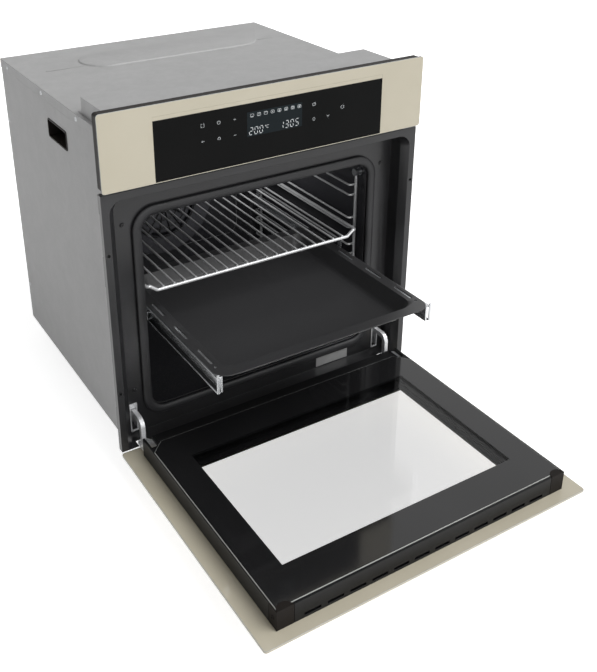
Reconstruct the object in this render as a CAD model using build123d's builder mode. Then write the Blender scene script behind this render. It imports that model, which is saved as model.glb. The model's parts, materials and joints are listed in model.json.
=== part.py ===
from build123d import *
import math
import os

os.makedirs("parts", exist_ok=True)

# A built-in oven with a drop-down door, drawn with the door open and the baking tray pulled out.
# All lengths are millimetres. X is across the oven, Y runs from the front to the rear, Z is up.
# The origin is in the middle of the niche's front edge, on the niche floor.

SIDES = (("left", -1), ("right", 1))

# Overall front
front_width = 595.0
front_top = 600.0
door_bottom = 5.0
front_proud = 20.0
glass_thickness = 4.0
panel_height = 123.5
door_gap = 5.0
panel_bottom = front_top - panel_height
half_front = front_width / 2
glass_front = -front_proud
glass_rear = glass_front + glass_thickness

# Casing
casing_margin = 19.5
casing_width = front_width - 2 * casing_margin
casing_depth = 515.0
casing_drop = 40.0
casing_top = front_top - casing_drop
sheet = 1.0
half_casing = casing_width / 2
lid_flange = 17.0
side_outer = half_casing - sheet
side_inner = side_outer - sheet
foot_flange = 16.0
duct_inset = 8.0
duct_width = casing_width - 2 * duct_inset
duct_depth = 112.0
duct_height = 28.0

# Front frame
strip_width = 12.0
frame_front = -12.0
recess_depth = 38.5
recess_draft = 11.0
recess_kink = 0.0
frame_top_gap = 4.5
recess_corner = 22.0
frame_top = panel_bottom - frame_top_gap
recess_floor = door_bottom + sheet
seat_front = frame_front + recess_depth
seat_rear = seat_front + sheet
recess_half = half_front - strip_width
seat_half = recess_half - recess_draft
recess_top = frame_top - strip_width - sheet
return_depth = 10.0
niche_hole_radius = 2.5
niche_hole_low = 120.0
niche_hole_drop = 100.0
niche_hole_heights = (niche_hole_low, frame_top - niche_hole_drop)
niche_hole_x = half_front - strip_width / 2

# Cavity
seat_width = 53.5
seat_head = 52.0
mouth_half = seat_half - seat_width
mouth_bottom = 48.0
mouth_top = recess_top - seat_head
mouth_corner = 24.0
mouth_rim = 13.0
cavity_half = mouth_half + mouth_rim
cavity_floor = 45.0
ceiling_step = 4.0
cavity_ceiling = mouth_top + ceiling_step
cavity_back_space = 65.0
cavity_rear = casing_depth - cavity_back_space
cavity_corner = 26.0
cavity_flange = 28.0
cavity_flange_half = cavity_half + cavity_flange
seal_width = 16.0
seal_thickness = 7.9
wool = 24.0

# Door and its pivot
pivot_y = -8.6
pivot_z = 6.5
door_start = door_bottom - pivot_z
door_end = panel_bottom - door_gap - pivot_z
door_depth = 34.0
door_side_margin = 30.5
door_head_margin = 20.5
inner_half = half_front - door_side_margin
inner_start = 21.5
inner_end = door_end - door_head_margin
door_wall = 1.5
side_profile_width = 21.5
profile_inner = inner_half - side_profile_width
end_profile_height = 19.7
cap_width = 28.0
pane_thickness = 4.0
middle_pane_thickness = 3.0
middle_pane_level = 4.0
fit_gap = 0.3

# Door hinge
hinge_inset = 10.0
hinge_x = inner_half - hinge_inset
arm_thickness = 8.0
arm_band = 9.0
hinge_cheek = 1.5
hinge_body_width = 14.0
hinge_body_length = 150.0
hinge_eye = 7.0
pin_radius = 3.0
hinge_slot_bottom = 12.0
hinge_slot_top = 57.0
hinge_slot_width = 12.0

# Handle
handle_stand_off = 40.0
handle_bar_depth = 8.0
handle_bar_height = 12.0
handle_drop = 44.5
handle_centre = door_end - handle_drop
handle_post_width = 20.0
handle_post_inset = 9.5
handle_overhang = 14.0
handle_post_x = profile_inner - handle_post_inset
handle_half = handle_post_x + handle_overhang

# Racks, shelf, runners and tray
wire_radius = 2.0
post_radius = 3.0
rack_wire_inset = 22.0
rack_post_inset = 8.0
rack_wire_x = cavity_half - rack_wire_inset
rack_post_x = cavity_half - rack_post_inset
rack_front = 62.0
rack_rear_space = 45.0
rack_rear = cavity_rear - rack_rear_space
rack_bottom = 80.0
level_rises = (62.0, 119.0, 176.0, 231.25, 297.5)
level_stretch = (cavity_ceiling - cavity_floor) / 366.0
level_centres = [cavity_floor + rise * level_stretch for rise in level_rises]
level_gap = 20.0
runner_level = level_centres[2]
shelf_level = level_centres[3]
runner_wall = 1.5
fixed_start = 55.0
runner_length = rack_rear - fixed_start
tray_front = -192.0
tray_rear_space = 23.0
tray_length = rack_rear - tray_rear_space
tray_side_gap = 9.0
tray_half = rack_wire_x - tray_side_gap
tray_rim = 20.0
tray_depth = 30.0
tray_sheet = 1.2
tray_corner = 26.0
ball_radius = 2.4

# Worked out from the sizes above
outer_pane_low = glass_front - pivot_y
outer_pane_high = glass_rear - pivot_y
inner_face = outer_pane_high + door_depth


def block(x, y, z, mode=Mode.ADD):
    """A square-edged piece between three pairs of limits."""
    middle = [(a + b) / 2 for a, b in (x, y, z)]
    with Locations(tuple(middle)):
        Box(abs(x[1] - x[0]), abs(y[1] - y[0]), abs(z[1] - z[0]), mode=mode)


def rod(start, end, radius, mode=Mode.ADD):
    """A round bar from one point to another."""
    a, b = Vector(start), Vector(end)
    with BuildSketch(Plane(origin=a, z_dir=b - a), mode=Mode.PRIVATE) as section:
        Circle(radius)
    extrude(section.sketch, amount=(b - a).length, mode=mode)


def front_view(y):
    """A plane seen from the front, X right and Z up. A minus amount extrudes it rearwards."""
    return Plane.XZ.offset(-y)


def window(x, z, radius=0.0, mode=Mode.ADD):
    """A rectangle between two pairs of limits, with its corners rounded where a radius is given."""
    with Locations(((x[0] + x[1]) / 2, (z[0] + z[1]) / 2)):
        if radius:
            RectangleRounded(abs(x[1] - x[0]), abs(z[1] - z[0]), radius, mode=mode)
        else:
            Rectangle(abs(x[1] - x[0]), abs(z[1] - z[0]), mode=mode)


def door_level(depth):
    """A plane in the open door, X across, local Y the height the point has when the door is shut.
    A minus amount extrudes it towards the cavity side of the door."""
    return Plane(origin=(0, pivot_y, pivot_z + depth), x_dir=(1, 0, 0), z_dir=(0, 0, -1))


def door_block(x, height, depth, mode=Mode.ADD):
    """A square-edged piece of the door, by its height when shut and its depth, both from the pivot."""
    block(x, (pivot_y - height[0], pivot_y - height[1]), (pivot_z + depth[0], pivot_z + depth[1]), mode)


# Casing: two sides, lid, back, base, and the raised air duct behind the control panel
grip_front = 174.0
grip_rear = 265.0
grip_drop = 46.0
grip_height = 35.0
grip_depth = 24.0
grip_corner = 6.0
grip_rim = 3.0
grip_top = casing_top - grip_drop
grip_bottom = grip_top - grip_height
lid_screw_margin = 44.0
lid_screw_y = (119.0, 283.0, casing_depth - lid_screw_margin)
rear_screw_margins = (82.0, 120.0)
rear_screw_z = (rear_screw_margins[0], casing_top - rear_screw_margins[1])
rear_screw_inset = 10.0
screw_shank = 1.6
screw_hole = 1.9
screw_head = 4.0
screw_head_height = 1.4
screw_length = 6.0
lid_screw_z = casing_top - lid_flange / 2

for side, s in SIDES:
    with BuildPart() as side_panel:
        block((s * side_inner, s * side_outer), (0, casing_depth - sheet), (0, casing_top - sheet))
        block((s * side_outer, s * (niche_hole_x + strip_width / 3)), (0, sheet), (door_bottom, frame_top))
        block((s * side_inner, s * (side_inner - foot_flange)), (seat_rear + fit_gap, casing_depth - sheet),
              (0, sheet))
        with BuildSketch(Plane.YZ.offset(s * side_inner)):
            window((grip_front, grip_rear), (grip_bottom, grip_top), grip_corner)
        extrude(amount=s * sheet, mode=Mode.SUBTRACT)
        for y in lid_screw_y:
            rod((s * (side_inner - 1), y, lid_screw_z), (s * (side_outer + 1), y, lid_screw_z), screw_hole,
                Mode.SUBTRACT)
        for z in rear_screw_z:
            rear_y = casing_depth - rear_screw_inset
            rod((s * (side_inner - 1), rear_y, z), (s * (side_outer + 1), rear_y, z), screw_hole,
                Mode.SUBTRACT)
        for z in niche_hole_heights:
            rod((s * niche_hole_x, -sheet, z), (s * niche_hole_x, 2 * sheet, z), niche_hole_radius,
                Mode.SUBTRACT)
    side_panel.part.label = f"side_panel_{side}"
    export_step(side_panel.part, f"parts/side_panel_{side}.step")

# The grips are plastic pockets pressed through the sides, with two notches under the lip
with BuildPart() as hand_grips:
    for s in (-1, 1):
        with BuildSketch(Plane.YZ.offset(s * side_inner), mode=Mode.PRIVATE) as lip_face:
            window((grip_front + fit_gap, grip_rear - fit_gap), (grip_bottom + fit_gap, grip_top - fit_gap),
                   grip_corner - fit_gap)
        with BuildSketch(Plane.YZ.offset(s * side_inner), mode=Mode.PRIVATE) as pocket_face:
            window((grip_front + grip_rim, grip_rear - grip_rim),
                   (grip_bottom + grip_rim, grip_top - grip_rim),
                   grip_corner - grip_rim)
        extrude(lip_face.sketch, amount=-s * grip_depth)
        extrude(lip_face.sketch, amount=s * 2 * sheet)
        extrude(pocket_face.sketch, amount=-s * (grip_depth - door_wall), mode=Mode.SUBTRACT)
        extrude(pocket_face.sketch, amount=s * 2 * sheet, mode=Mode.SUBTRACT)
        for notch in (0.52, 0.94):
            y = grip_front + notch * (grip_rear - grip_front)
            block((s * (side_inner - grip_rim), s * (side_outer + 2 * sheet)),
                  (y - grip_rim, y + grip_rim / 2),
                  (grip_bottom, grip_bottom + grip_rim), Mode.SUBTRACT)
hand_grips.part.label = "hand_grips"
export_step(hand_grips.part, "parts/hand_grips.step")

emboss_rise = 3.0
emboss_x = (-165.0, 205.0)
emboss_margin = 69.0
emboss_depth = 100.0
emboss_y = (casing_depth - emboss_margin - emboss_depth, casing_depth - emboss_margin)
bead_margin = 140.0
bead_y = casing_depth - bead_margin
bead_end = 42.0
bead_width = 3.0
bead_rise = 1.2
with BuildPart() as top_panel:
    block((-half_casing, half_casing), (0, casing_depth), (casing_top - sheet, casing_top))
    for s in (-1, 1):
        block((s * side_outer, s * half_casing), (0, casing_depth),
              (casing_top - lid_flange, casing_top - sheet))
    with BuildSketch(Plane.XY.offset(casing_top - sheet)):
        with Locations(((emboss_x[0] + emboss_x[1]) / 2, (emboss_y[0] + emboss_y[1]) / 2)):
            SlotOverall(emboss_x[1] - emboss_x[0], emboss_y[1] - emboss_y[0])
    extrude(amount=sheet + emboss_rise, taper=30)
    with BuildSketch(Plane.XY.offset(casing_top - sheet)):
        with Locations(((emboss_x[0] + emboss_x[1]) / 2, (emboss_y[0] + emboss_y[1]) / 2)):
            SlotOverall(emboss_x[1] - emboss_x[0] - 2 * sheet, emboss_y[1] - emboss_y[0] - 2 * sheet)
    extrude(amount=emboss_rise, taper=30, mode=Mode.SUBTRACT)
    for x in ((-half_casing + bead_end, emboss_x[0]), (emboss_x[1], half_casing - bead_end)):
        block(x, (bead_y - bead_width / 2, bead_y + bead_width / 2), (casing_top, casing_top + bead_rise))
    for s in (-1, 1):
        for y in lid_screw_y:
            rod((s * (side_outer - 1), y, lid_screw_z), (s * (half_casing + 1), y, lid_screw_z), screw_hole,
                Mode.SUBTRACT)
top_panel.part.label = "top_panel"
export_step(top_panel.part, "parts/top_panel.step")

half_duct = duct_width / 2
with BuildPart() as duct_housing:
    with BuildSketch(Plane.XY.offset(casing_top)):
        with Locations((0, duct_depth / 2)):
            Rectangle(duct_width, duct_depth)
    extrude(amount=duct_height)
    with BuildSketch(Plane.XY.offset(casing_top)):
        with Locations((0, duct_depth / 2)):
            Rectangle(duct_width - 2 * sheet, duct_depth - 2 * sheet)
    extrude(amount=duct_height - sheet, mode=Mode.SUBTRACT)
    block((-half_duct, half_duct), (duct_depth, duct_depth + foot_flange), (casing_top, casing_top + sheet))
duct_housing.part.label = "duct_housing"
export_step(duct_housing.part, "parts/duct_housing.step")

back_slot = (60.0, 5.0)
back_slot_pitch = 14.0
terminal_inset = 72.0
terminal_x = terminal_inset - side_outer
terminal_drop = 60.0
terminal_z = casing_top - terminal_drop
clamp_drop = 45.0
clamp_z = terminal_z - clamp_drop
cord_hole = 8.0
with BuildPart() as back_panel:
    block((-side_outer, side_outer), (casing_depth - sheet, casing_depth), (sheet, casing_top - sheet))
    with BuildSketch(front_view(casing_depth - sheet)):
        with Locations((0, (cavity_floor + cavity_ceiling) / 2)):
            with GridLocations(back_slot[0] * 1.4, back_slot_pitch, 2, 8):
                SlotOverall(*back_slot)
        with Locations((terminal_x, clamp_z)):
            Circle(cord_hole)
    extrude(amount=-sheet, mode=Mode.SUBTRACT)
back_panel.part.label = "back_panel"
export_step(back_panel.part, "parts/back_panel.step")

base_slot = (70.0, 6.0)
base_slot_margin = 70.0
with BuildPart() as base_panel:
    block((-side_inner + fit_gap, side_inner - fit_gap), (seat_rear + fit_gap, casing_depth - sheet),
          (sheet, 2 * sheet))
    with BuildSketch(Plane.XY.offset(sheet)):
        with Locations((0, casing_depth - base_slot_margin)):
            with GridLocations(base_slot[0] * 1.5, base_slot[1] * 3, 4, 2):
                SlotOverall(*base_slot)
    extrude(amount=sheet, mode=Mode.SUBTRACT)
base_panel.part.label = "base_panel"
export_step(base_panel.part, "parts/base_panel.step")

with BuildPart() as casing_screws:
    for s in (-1, 1):
        rear_y = casing_depth - rear_screw_inset
        places = [(half_casing, y, lid_screw_z) for y in lid_screw_y]
        places += [(side_outer, rear_y, z) for z in rear_screw_z]
        for seat, y, z in places:
            rod((s * seat, y, z), (s * (seat + screw_head_height), y, z), screw_head)
            rod((s * (seat - screw_length), y, z), (s * seat, y, z), screw_shank)
casing_screws.part.label = "casing_screws"
export_step(casing_screws.part, "parts/casing_screws.step")

# Front frame: a pressed black front with a drafted recess that the door closes into
low_tab_top = 90.0
middle_tab = (156.0, 104.0)
high_tab = 32.0
tab_heights = ((door_bottom, low_tab_top), (frame_top - middle_tab[0], frame_top - middle_tab[1]),
               (frame_top - high_tab, frame_top))
wiring_slot_half = 60.0
wiring_slot_drops = (60.0, 20.0)
wiring_slot = (casing_top - wiring_slot_drops[0], casing_top - wiring_slot_drops[1])
outlet_slot_half = 200.0
outlet_slot_rises = (2.0, 5.0)
outlet_slot = (frame_top + outlet_slot_rises[0], frame_top + outlet_slot_rises[1])
frame_screw_inset = 31.0
frame_screw_rise = 44.0
frame_screw_drop = 7.0
frame_screw_x = mouth_half + frame_screw_inset
frame_screw_z = (mouth_bottom + frame_screw_rise, mouth_top - frame_screw_drop)
notch_rear = 4.0
with BuildPart() as front_frame:
    with BuildSketch(front_view(frame_front)):
        window((-half_front, half_front), (door_bottom, frame_top))
        window((-recess_half, recess_half), (-front_top, recess_top), recess_corner, Mode.SUBTRACT)
    extrude(amount=-sheet)
    with BuildSketch(front_view(frame_front)):
        window((-half_front, half_front), (door_bottom, frame_top))
        window((-half_front + sheet, half_front - sheet), (door_bottom + sheet, frame_top - sheet), 0,
               Mode.SUBTRACT)
    extrude(amount=-return_depth)
    for s in (-1, 1):
        for low, high in tab_heights:
            block((s * half_front, s * (half_front - sheet)), (frame_front + return_depth, 0), (low, high))
    for grow, mode, rear in ((sheet, Mode.ADD, seat_rear), (0.0, Mode.SUBTRACT, seat_front)):
        with BuildSketch(front_view(frame_front), mode=Mode.PRIVATE) as mouth:
            window((-recess_half - grow, recess_half + grow), (recess_floor - grow, recess_top + grow))
            fillet(mouth.vertices().group_by(Axis.Y)[-1], recess_corner + grow)
        with BuildSketch(front_view(recess_kink), mode=Mode.PRIVATE) as kink:
            window((-seat_half - grow, seat_half + grow), (recess_floor - grow, recess_top + grow))
            fillet(kink.vertices().group_by(Axis.Y)[-1], recess_corner + grow)
        loft([mouth.sketch, kink.sketch], ruled=True, mode=mode)
        extrude(kink.sketch, amount=recess_kink - rear, mode=mode)
    block((-side_inner + fit_gap, side_inner - fit_gap), (frame_front, sheet),
          (frame_top - sheet, frame_top))
    block((-side_inner + fit_gap, side_inner - fit_gap), (0, sheet), (frame_top, casing_top - sheet))
    block((-wiring_slot_half, wiring_slot_half), (-sheet, 2 * sheet), wiring_slot, Mode.SUBTRACT)
    block((-outlet_slot_half, outlet_slot_half), (-sheet, 2 * sheet), outlet_slot, Mode.SUBTRACT)
    with BuildSketch(front_view(seat_front)):
        window((-mouth_half, mouth_half), (mouth_bottom, mouth_top), mouth_corner)
        for s in (-1, 1):
            window((s * hinge_x - hinge_slot_width / 2, s * hinge_x + hinge_slot_width / 2),
                   (hinge_slot_bottom, hinge_slot_top))
            for z in frame_screw_z:
                with Locations((s * frame_screw_x, z)):
                    Circle(screw_hole + fit_gap)
    extrude(amount=-sheet, mode=Mode.SUBTRACT)
    for s in (-1, 1):
        block((s * hinge_x - hinge_body_width / 2 - 2, s * hinge_x + hinge_body_width / 2 + 2),
              (frame_front - 1, notch_rear), (0, recess_floor + 1), Mode.SUBTRACT)
        for z in niche_hole_heights:
            rod((s * niche_hole_x, frame_front - 1, z), (s * niche_hole_x, 0, z), niche_hole_radius,
                Mode.SUBTRACT)
front_frame.part.label = "front_frame"
export_step(front_frame.part, "parts/front_frame.step")

plate_x = (120.0, 192.0)
plate_z = (8.5, 29.5)
plate_thickness = 0.4
with BuildPart() as rating_plate:
    block(plate_x, (seat_front - plate_thickness, seat_front), plate_z)
rating_plate.part.label = "rating_plate"
export_step(rating_plate.part, "parts/rating_plate.step")

with BuildPart() as frame_screws:
    for s in (-1, 1):
        for z in frame_screw_z:
            rod((s * frame_screw_x, seat_front, z), (s * frame_screw_x, seat_front - 2, z), screw_head)
            rod((s * frame_screw_x, seat_front + 8, z), (s * frame_screw_x, seat_front, z), screw_shank)
frame_screws.part.label = "frame_screws"
export_step(frame_screws.part, "parts/frame_screws.step")

with BuildPart() as door_seal:
    with BuildSketch(front_view(seat_front)):
        grow = sheet + seal_width
        window((-mouth_half - grow, mouth_half + grow), (mouth_bottom - grow, mouth_top + grow),
               mouth_corner + grow)
        window((-mouth_half - sheet, mouth_half + sheet), (mouth_bottom - sheet, mouth_top + sheet),
               mouth_corner + sheet, Mode.SUBTRACT)
    extrude(amount=seal_thickness)
    chamfer(door_seal.edges().group_by(Axis.Y)[0], seal_width * 0.2)
door_seal.part.label = "door_seal"
export_step(door_seal.part, "parts/door_seal.step")

# Cavity: an enamelled box whose flange lies behind the front frame
rack_hole = post_radius + fit_gap
flange_low = hinge_slot_top + 5
flange_rise = 19.0
motor_shaft = 3.0
fan_drop = 1.0
fan_z = (cavity_floor + cavity_ceiling) / 2 - fan_drop
lamp_inset = 69.0
lamp_drop = 61.0
lamp_x = cavity_half - lamp_inset
lamp_z = cavity_ceiling - lamp_drop
lamp_radius = 22.0
probe_inset = 84.0
probe_drop = 39.0
probe_x = probe_inset - cavity_half
probe_z = cavity_ceiling - probe_drop
probe_radius = 3.0
tube_radius = 3.3
grill_drop = 13.0
grill_z = cavity_ceiling - grill_drop
grill_tail = 20.0
ring_radius = 92.0
ring_terminals = (270.0, 15.0)
with BuildPart() as cavity_shell:
    with BuildSketch(front_view(seat_rear)):
        window((-cavity_half - sheet, cavity_half + sheet), (cavity_floor - sheet, cavity_ceiling + sheet),
               cavity_corner + sheet)
    extrude(amount=-(cavity_rear + sheet - seat_rear))
    with BuildSketch(front_view(seat_rear + sheet)):
        window((-cavity_half, cavity_half), (cavity_floor, cavity_ceiling), cavity_corner)
    extrude(amount=-(cavity_rear - seat_rear - sheet), mode=Mode.SUBTRACT)
    with BuildSketch(front_view(seat_rear)):
        window((-cavity_flange_half, cavity_flange_half), (flange_low, cavity_ceiling + flange_rise))
        window((-cavity_half - 10, cavity_half + 10), (cavity_floor - flange_rise, flange_low))
    extrude(amount=-sheet)
    with BuildSketch(front_view(seat_rear)):
        window((-mouth_half, mouth_half), (mouth_bottom, mouth_top), mouth_corner)
        for s in (-1, 1):
            for z in frame_screw_z:
                with Locations((s * frame_screw_x, z)):
                    Circle(screw_hole + fit_gap)
    extrude(amount=-sheet, mode=Mode.SUBTRACT)
    with BuildSketch(front_view(cavity_rear)):
        with Locations((0, fan_z)):
            Circle(motor_shaft + 1.5)
            with PolarLocations(ring_radius, 2, *ring_terminals, endpoint=True):
                Circle(tube_radius + fit_gap)
        with Locations((lamp_x, lamp_z)):
            Circle(lamp_radius + fit_gap)
        with Locations((probe_x, probe_z)):
            Circle(probe_radius + fit_gap)
        with Locations((-grill_tail, grill_z), (grill_tail, grill_z)):
            Circle(tube_radius + fit_gap)
    extrude(amount=-sheet, mode=Mode.SUBTRACT)
    for s in (-1, 1):
        for y in (rack_front, rack_rear):
            rod((s * (cavity_half - 1), y, rack_bottom), (s * (cavity_half + 2), y, rack_bottom), rack_hole,
                Mode.SUBTRACT)
cavity_shell.part.label = "cavity_shell"
export_step(cavity_shell.part, "parts/cavity_shell.step")

wool_front = 64.0
motor_radius = 32.0
with BuildPart() as insulation_wrap:
    inner = (cavity_half + sheet + fit_gap, cavity_floor - 9.0, cavity_ceiling + sheet + fit_gap,
             cavity_rear + sheet + 2)
    block((-inner[0] - wool, inner[0] + wool), (wool_front, inner[3] + wool),
          (inner[1] - wool, inner[2] + wool))
    block((-inner[0], inner[0]), (wool_front, inner[3]), inner[1:3], Mode.SUBTRACT)
    rod((0, inner[3], fan_z), (0, inner[3] + wool, fan_z), motor_radius + 8, Mode.SUBTRACT)
    rod((lamp_x, inner[3], lamp_z), (lamp_x, inner[3] + wool, lamp_z), lamp_radius + 2, Mode.SUBTRACT)
    rod((probe_x, inner[3], probe_z), (probe_x, inner[3] + wool, probe_z), 2 * probe_radius, Mode.SUBTRACT)
insulation_wrap.part.label = "insulation_wrap"
export_step(insulation_wrap.part, "parts/insulation_wrap.step")
wool_top = inner[2] + wool

# Hot-air system on the rear wall: cover, fan, ring heater and motor
cover_radius = 120.0
cover_depth = 24.0
cover_front = cavity_rear - cover_depth
grille_rings = (22.0, 37.0, 52.0, 67.0)
grille_slot = 7.0
fan_radius = 70.0
fan_hub = 14.0
fan_depth = 11.0
fan_front = cavity_rear - 16.0
with BuildPart() as fan_cover:
    with BuildSketch(front_view(cavity_rear)):
        with Locations((0, fan_z)):
            Circle(cover_radius)
    extrude(amount=cover_depth, taper=20)
    with BuildSketch(front_view(cavity_rear)):
        with Locations((0, fan_z)):
            Circle(cover_radius - 1.1 * sheet)
    extrude(amount=cover_depth - sheet, taper=20, mode=Mode.SUBTRACT)
    with BuildSketch(front_view(cover_front)):
        with Locations((0, fan_z)):
            for ring in grille_rings:
                Circle(ring + grille_slot / 2)
                Circle(ring - grille_slot / 2, mode=Mode.SUBTRACT)
            with PolarLocations(0, 3):
                Rectangle(3 * fan_radius, grille_slot, mode=Mode.SUBTRACT)
    extrude(amount=-sheet, mode=Mode.SUBTRACT)
    with BuildSketch(front_view(cavity_rear)):
        with Locations((0, fan_z)):
            with PolarLocations(cover_radius, 8):
                Rectangle(4 * sheet, cover_radius / 2)
    extrude(amount=cover_depth / 3, mode=Mode.SUBTRACT)
fan_cover.part.label = "fan_cover"
export_step(fan_cover.part, "parts/fan_cover.step")

motor_front = cavity_rear + sheet + wool + 4
motor_depth = 26.0
shaft_reach = 12.0
with BuildPart() as convection_fan:
    with BuildSketch(front_view(fan_front + fan_depth)):
        with Locations((0, fan_z)):
            Circle(fan_radius)
    extrude(amount=sheet)
    with BuildSketch(front_view(fan_front + fan_depth - sheet)):
        with Locations((0, fan_z)):
            with PolarLocations(0.66 * fan_radius, 10):
                Rectangle(0.6 * fan_radius, sheet)
    extrude(amount=fan_depth - sheet)
    rod((0, fan_front, fan_z), (0, fan_front + fan_depth, fan_z), fan_hub)
    rod((0, fan_front + fan_depth, fan_z), (0, motor_front + shaft_reach, fan_z), motor_shaft)
convection_fan.part.label = "convection_fan"
export_step(convection_fan.part, "parts/convection_fan.step")

motor_plate = 38.0
with BuildPart() as fan_motor:
    rod((0, motor_front, fan_z), (0, motor_front + motor_depth, fan_z), motor_radius)
    with BuildSketch(front_view(cavity_rear + sheet)):
        with Locations((0, fan_z)):
            Circle(motor_plate)
            Circle(motor_radius - 10, mode=Mode.SUBTRACT)
    extrude(amount=-door_wall)
    with BuildSketch(front_view(cavity_rear + sheet)):
        with Locations((0, fan_z)):
            with PolarLocations(motor_radius - 5, 3):
                Circle(3)
    extrude(amount=-(motor_front - cavity_rear))
    rod((0, motor_front - 1, fan_z), (0, motor_front + shaft_reach + fit_gap, fan_z), motor_shaft + fit_gap,
        Mode.SUBTRACT)
fan_motor.part.label = "fan_motor"
export_step(fan_motor.part, "parts/fan_motor.step")

ring_y = fan_front + 6
with BuildPart() as ring_heater:
    with BuildSketch(Plane(origin=(0, 0, fan_z), x_dir=(0, 0, -1), z_dir=(1, 0, 0))):
        with Locations((ring_radius, ring_y)):
            Circle(tube_radius)
    revolve(axis=Axis((0, 0, fan_z), (0, 1, 0)), revolution_arc=360 - ring_terminals[1])
    for angle in (ring_terminals[0], sum(ring_terminals)):
        x = ring_radius * math.cos(math.radians(angle))
        z = fan_z + ring_radius * math.sin(math.radians(angle))
        rod((x, ring_y, z), (x, cavity_rear + sheet + 1, z), tube_radius)
ring_heater.part.label = "ring_heater"
export_step(ring_heater.part, "parts/ring_heater.step")

# Grill element under the ceiling and bottom element under the floor
loop_inset = 49.0
loop_half = cavity_half - loop_inset
loop_front = 95.0
loop_rear_space = 35.0
loop_rear = cavity_rear - loop_rear_space
loop_bend = 20.0
element_end = cavity_rear + sheet + 1
bottom_z = cavity_floor - sheet - fit_gap - tube_radius
loops = (("grill_element", grill_z, 1), ("bottom_element", bottom_z, 0))
for name, z, hung in loops:
    with BuildPart() as element:
        with BuildLine() as route:
            FilletPolyline((-grill_tail, element_end, z), (-grill_tail, loop_rear, z),
                           (-loop_half, loop_rear, z), (-loop_half, loop_front, z),
                           (loop_half, loop_front, z), (loop_half, loop_rear, z),
                           (grill_tail, loop_rear, z), (grill_tail, element_end, z), radius=loop_bend)
        with BuildSketch(Plane(origin=route.wires()[0] @ 0, z_dir=route.wires()[0] % 0)):
            Circle(tube_radius)
        sweep()
        if hung:
            for s in (-1, 1):
                rod((s * loop_half, cavity_rear / 2, z), (s * loop_half, cavity_rear / 2, cavity_ceiling),
                    tube_radius / 2)
    element.part.label = name
    export_step(element.part, f"parts/{name}.step")

lamp_cap = 26.0
lamp_proud = 10.0
with BuildPart() as lamp_lens:
    rod((lamp_x, cavity_rear, lamp_z), (lamp_x, cavity_rear - lamp_proud, lamp_z), lamp_cap)
    fillet(lamp_lens.edges().group_by(Axis.Y)[0], lamp_proud * 0.6)
    rod((lamp_x, cavity_rear, lamp_z), (lamp_x, cavity_rear - lamp_proud + 3, lamp_z), lamp_cap - 3,
        Mode.SUBTRACT)
lamp_lens.part.label = "lamp_lens"
export_step(lamp_lens.part, "parts/lamp_lens.step")

lamp_length = 38.0
bulb_length = 6.0
bulb_radius = 8.8
with BuildPart() as oven_lamp:
    rod((lamp_x, cavity_rear + fit_gap, lamp_z), (lamp_x, cavity_rear + lamp_length, lamp_z), lamp_radius)
    rod((lamp_x, cavity_rear + fit_gap, lamp_z), (lamp_x, cavity_rear - bulb_length, lamp_z), bulb_radius)
oven_lamp.part.label = "oven_lamp"
export_step(oven_lamp.part, "parts/oven_lamp.step")

probe_length = 50.0
probe_tail = 12.0
probe_collar = 2.0
with BuildPart() as temperature_probe:
    rod((probe_x, cavity_rear + probe_tail, probe_z), (probe_x, cavity_rear - probe_length, probe_z),
        probe_radius)
    rod((probe_x, cavity_rear, probe_z), (probe_x, cavity_rear - probe_collar, probe_z), 2 * probe_radius)
temperature_probe.part.label = "temperature_probe"
export_step(temperature_probe.part, "parts/temperature_probe.step")

# Cooling system and electronics above the cavity, on an air guide plate
deck_low = wool_top + fit_gap
deck = deck_low + sheet
with BuildPart() as air_guide_plate:
    block((-side_inner + fit_gap, side_inner - fit_gap), (seat_rear + 2 * sheet, casing_depth - 12),
          (deck_low, deck))
    for s in (-1, 1):
        block((s * (side_inner - fit_gap), s * (side_inner - fit_gap - sheet)),
              (seat_rear + 2 * sheet, casing_depth - 12), (deck, deck + foot_flange))
air_guide_plate.part.label = "air_guide_plate"
export_step(air_guide_plate.part, "parts/air_guide_plate.step")

blower_y = 190.0
wheel_radius = 28.0
scroll_radius = 37.0
blower_half = 105.0
blower_z = deck + scroll_radius + 4
outlet_height = 24.0
outlet_front = 34.0
with BuildPart() as blower_housing:
    with BuildSketch(Plane.YZ.offset(-blower_half)):
        with Locations((blower_y, blower_z)):
            Circle(scroll_radius)
        window((outlet_front, blower_y),
               (blower_z - scroll_radius, blower_z - scroll_radius + outlet_height))
        window((blower_y - 10, blower_y + 10), (deck, blower_z - scroll_radius + 2))
    extrude(amount=2 * blower_half)
    with BuildSketch(Plane.YZ.offset(-blower_half + door_wall)):
        with Locations((blower_y, blower_z)):
            Circle(scroll_radius - door_wall)
        window((outlet_front - 1, blower_y),
               (blower_z - scroll_radius + door_wall, blower_z - scroll_radius + outlet_height - door_wall))
    extrude(amount=2 * (blower_half - door_wall), mode=Mode.SUBTRACT)
    rod((-blower_half - 1, blower_y, blower_z), (blower_half + 1, blower_y, blower_z),
        motor_shaft + fit_gap,
        Mode.SUBTRACT)
blower_housing.part.label = "blower_housing"
export_step(blower_housing.part, "parts/blower_housing.step")

wheel_clearance = 6.0
wheel_half = blower_half - wheel_clearance
blower_shaft_reach = 14.0
with BuildPart() as blower_wheel:
    with BuildSketch(Plane.YZ.offset(-wheel_half)):
        with Locations((blower_y, blower_z)):
            with PolarLocations(wheel_radius - 5, 14):
                Rectangle(8, sheet, rotation=35)
    extrude(amount=2 * wheel_half)
    for x in (-wheel_half, wheel_half - sheet):
        rod((x, blower_y, blower_z), (x + sheet, blower_y, blower_z), wheel_radius)
    rod((-blower_half - 2, blower_y, blower_z), (blower_half + blower_shaft_reach, blower_y, blower_z),
        motor_shaft)
blower_wheel.part.label = "blower_wheel"
export_step(blower_wheel.part, "parts/blower_wheel.step")

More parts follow.
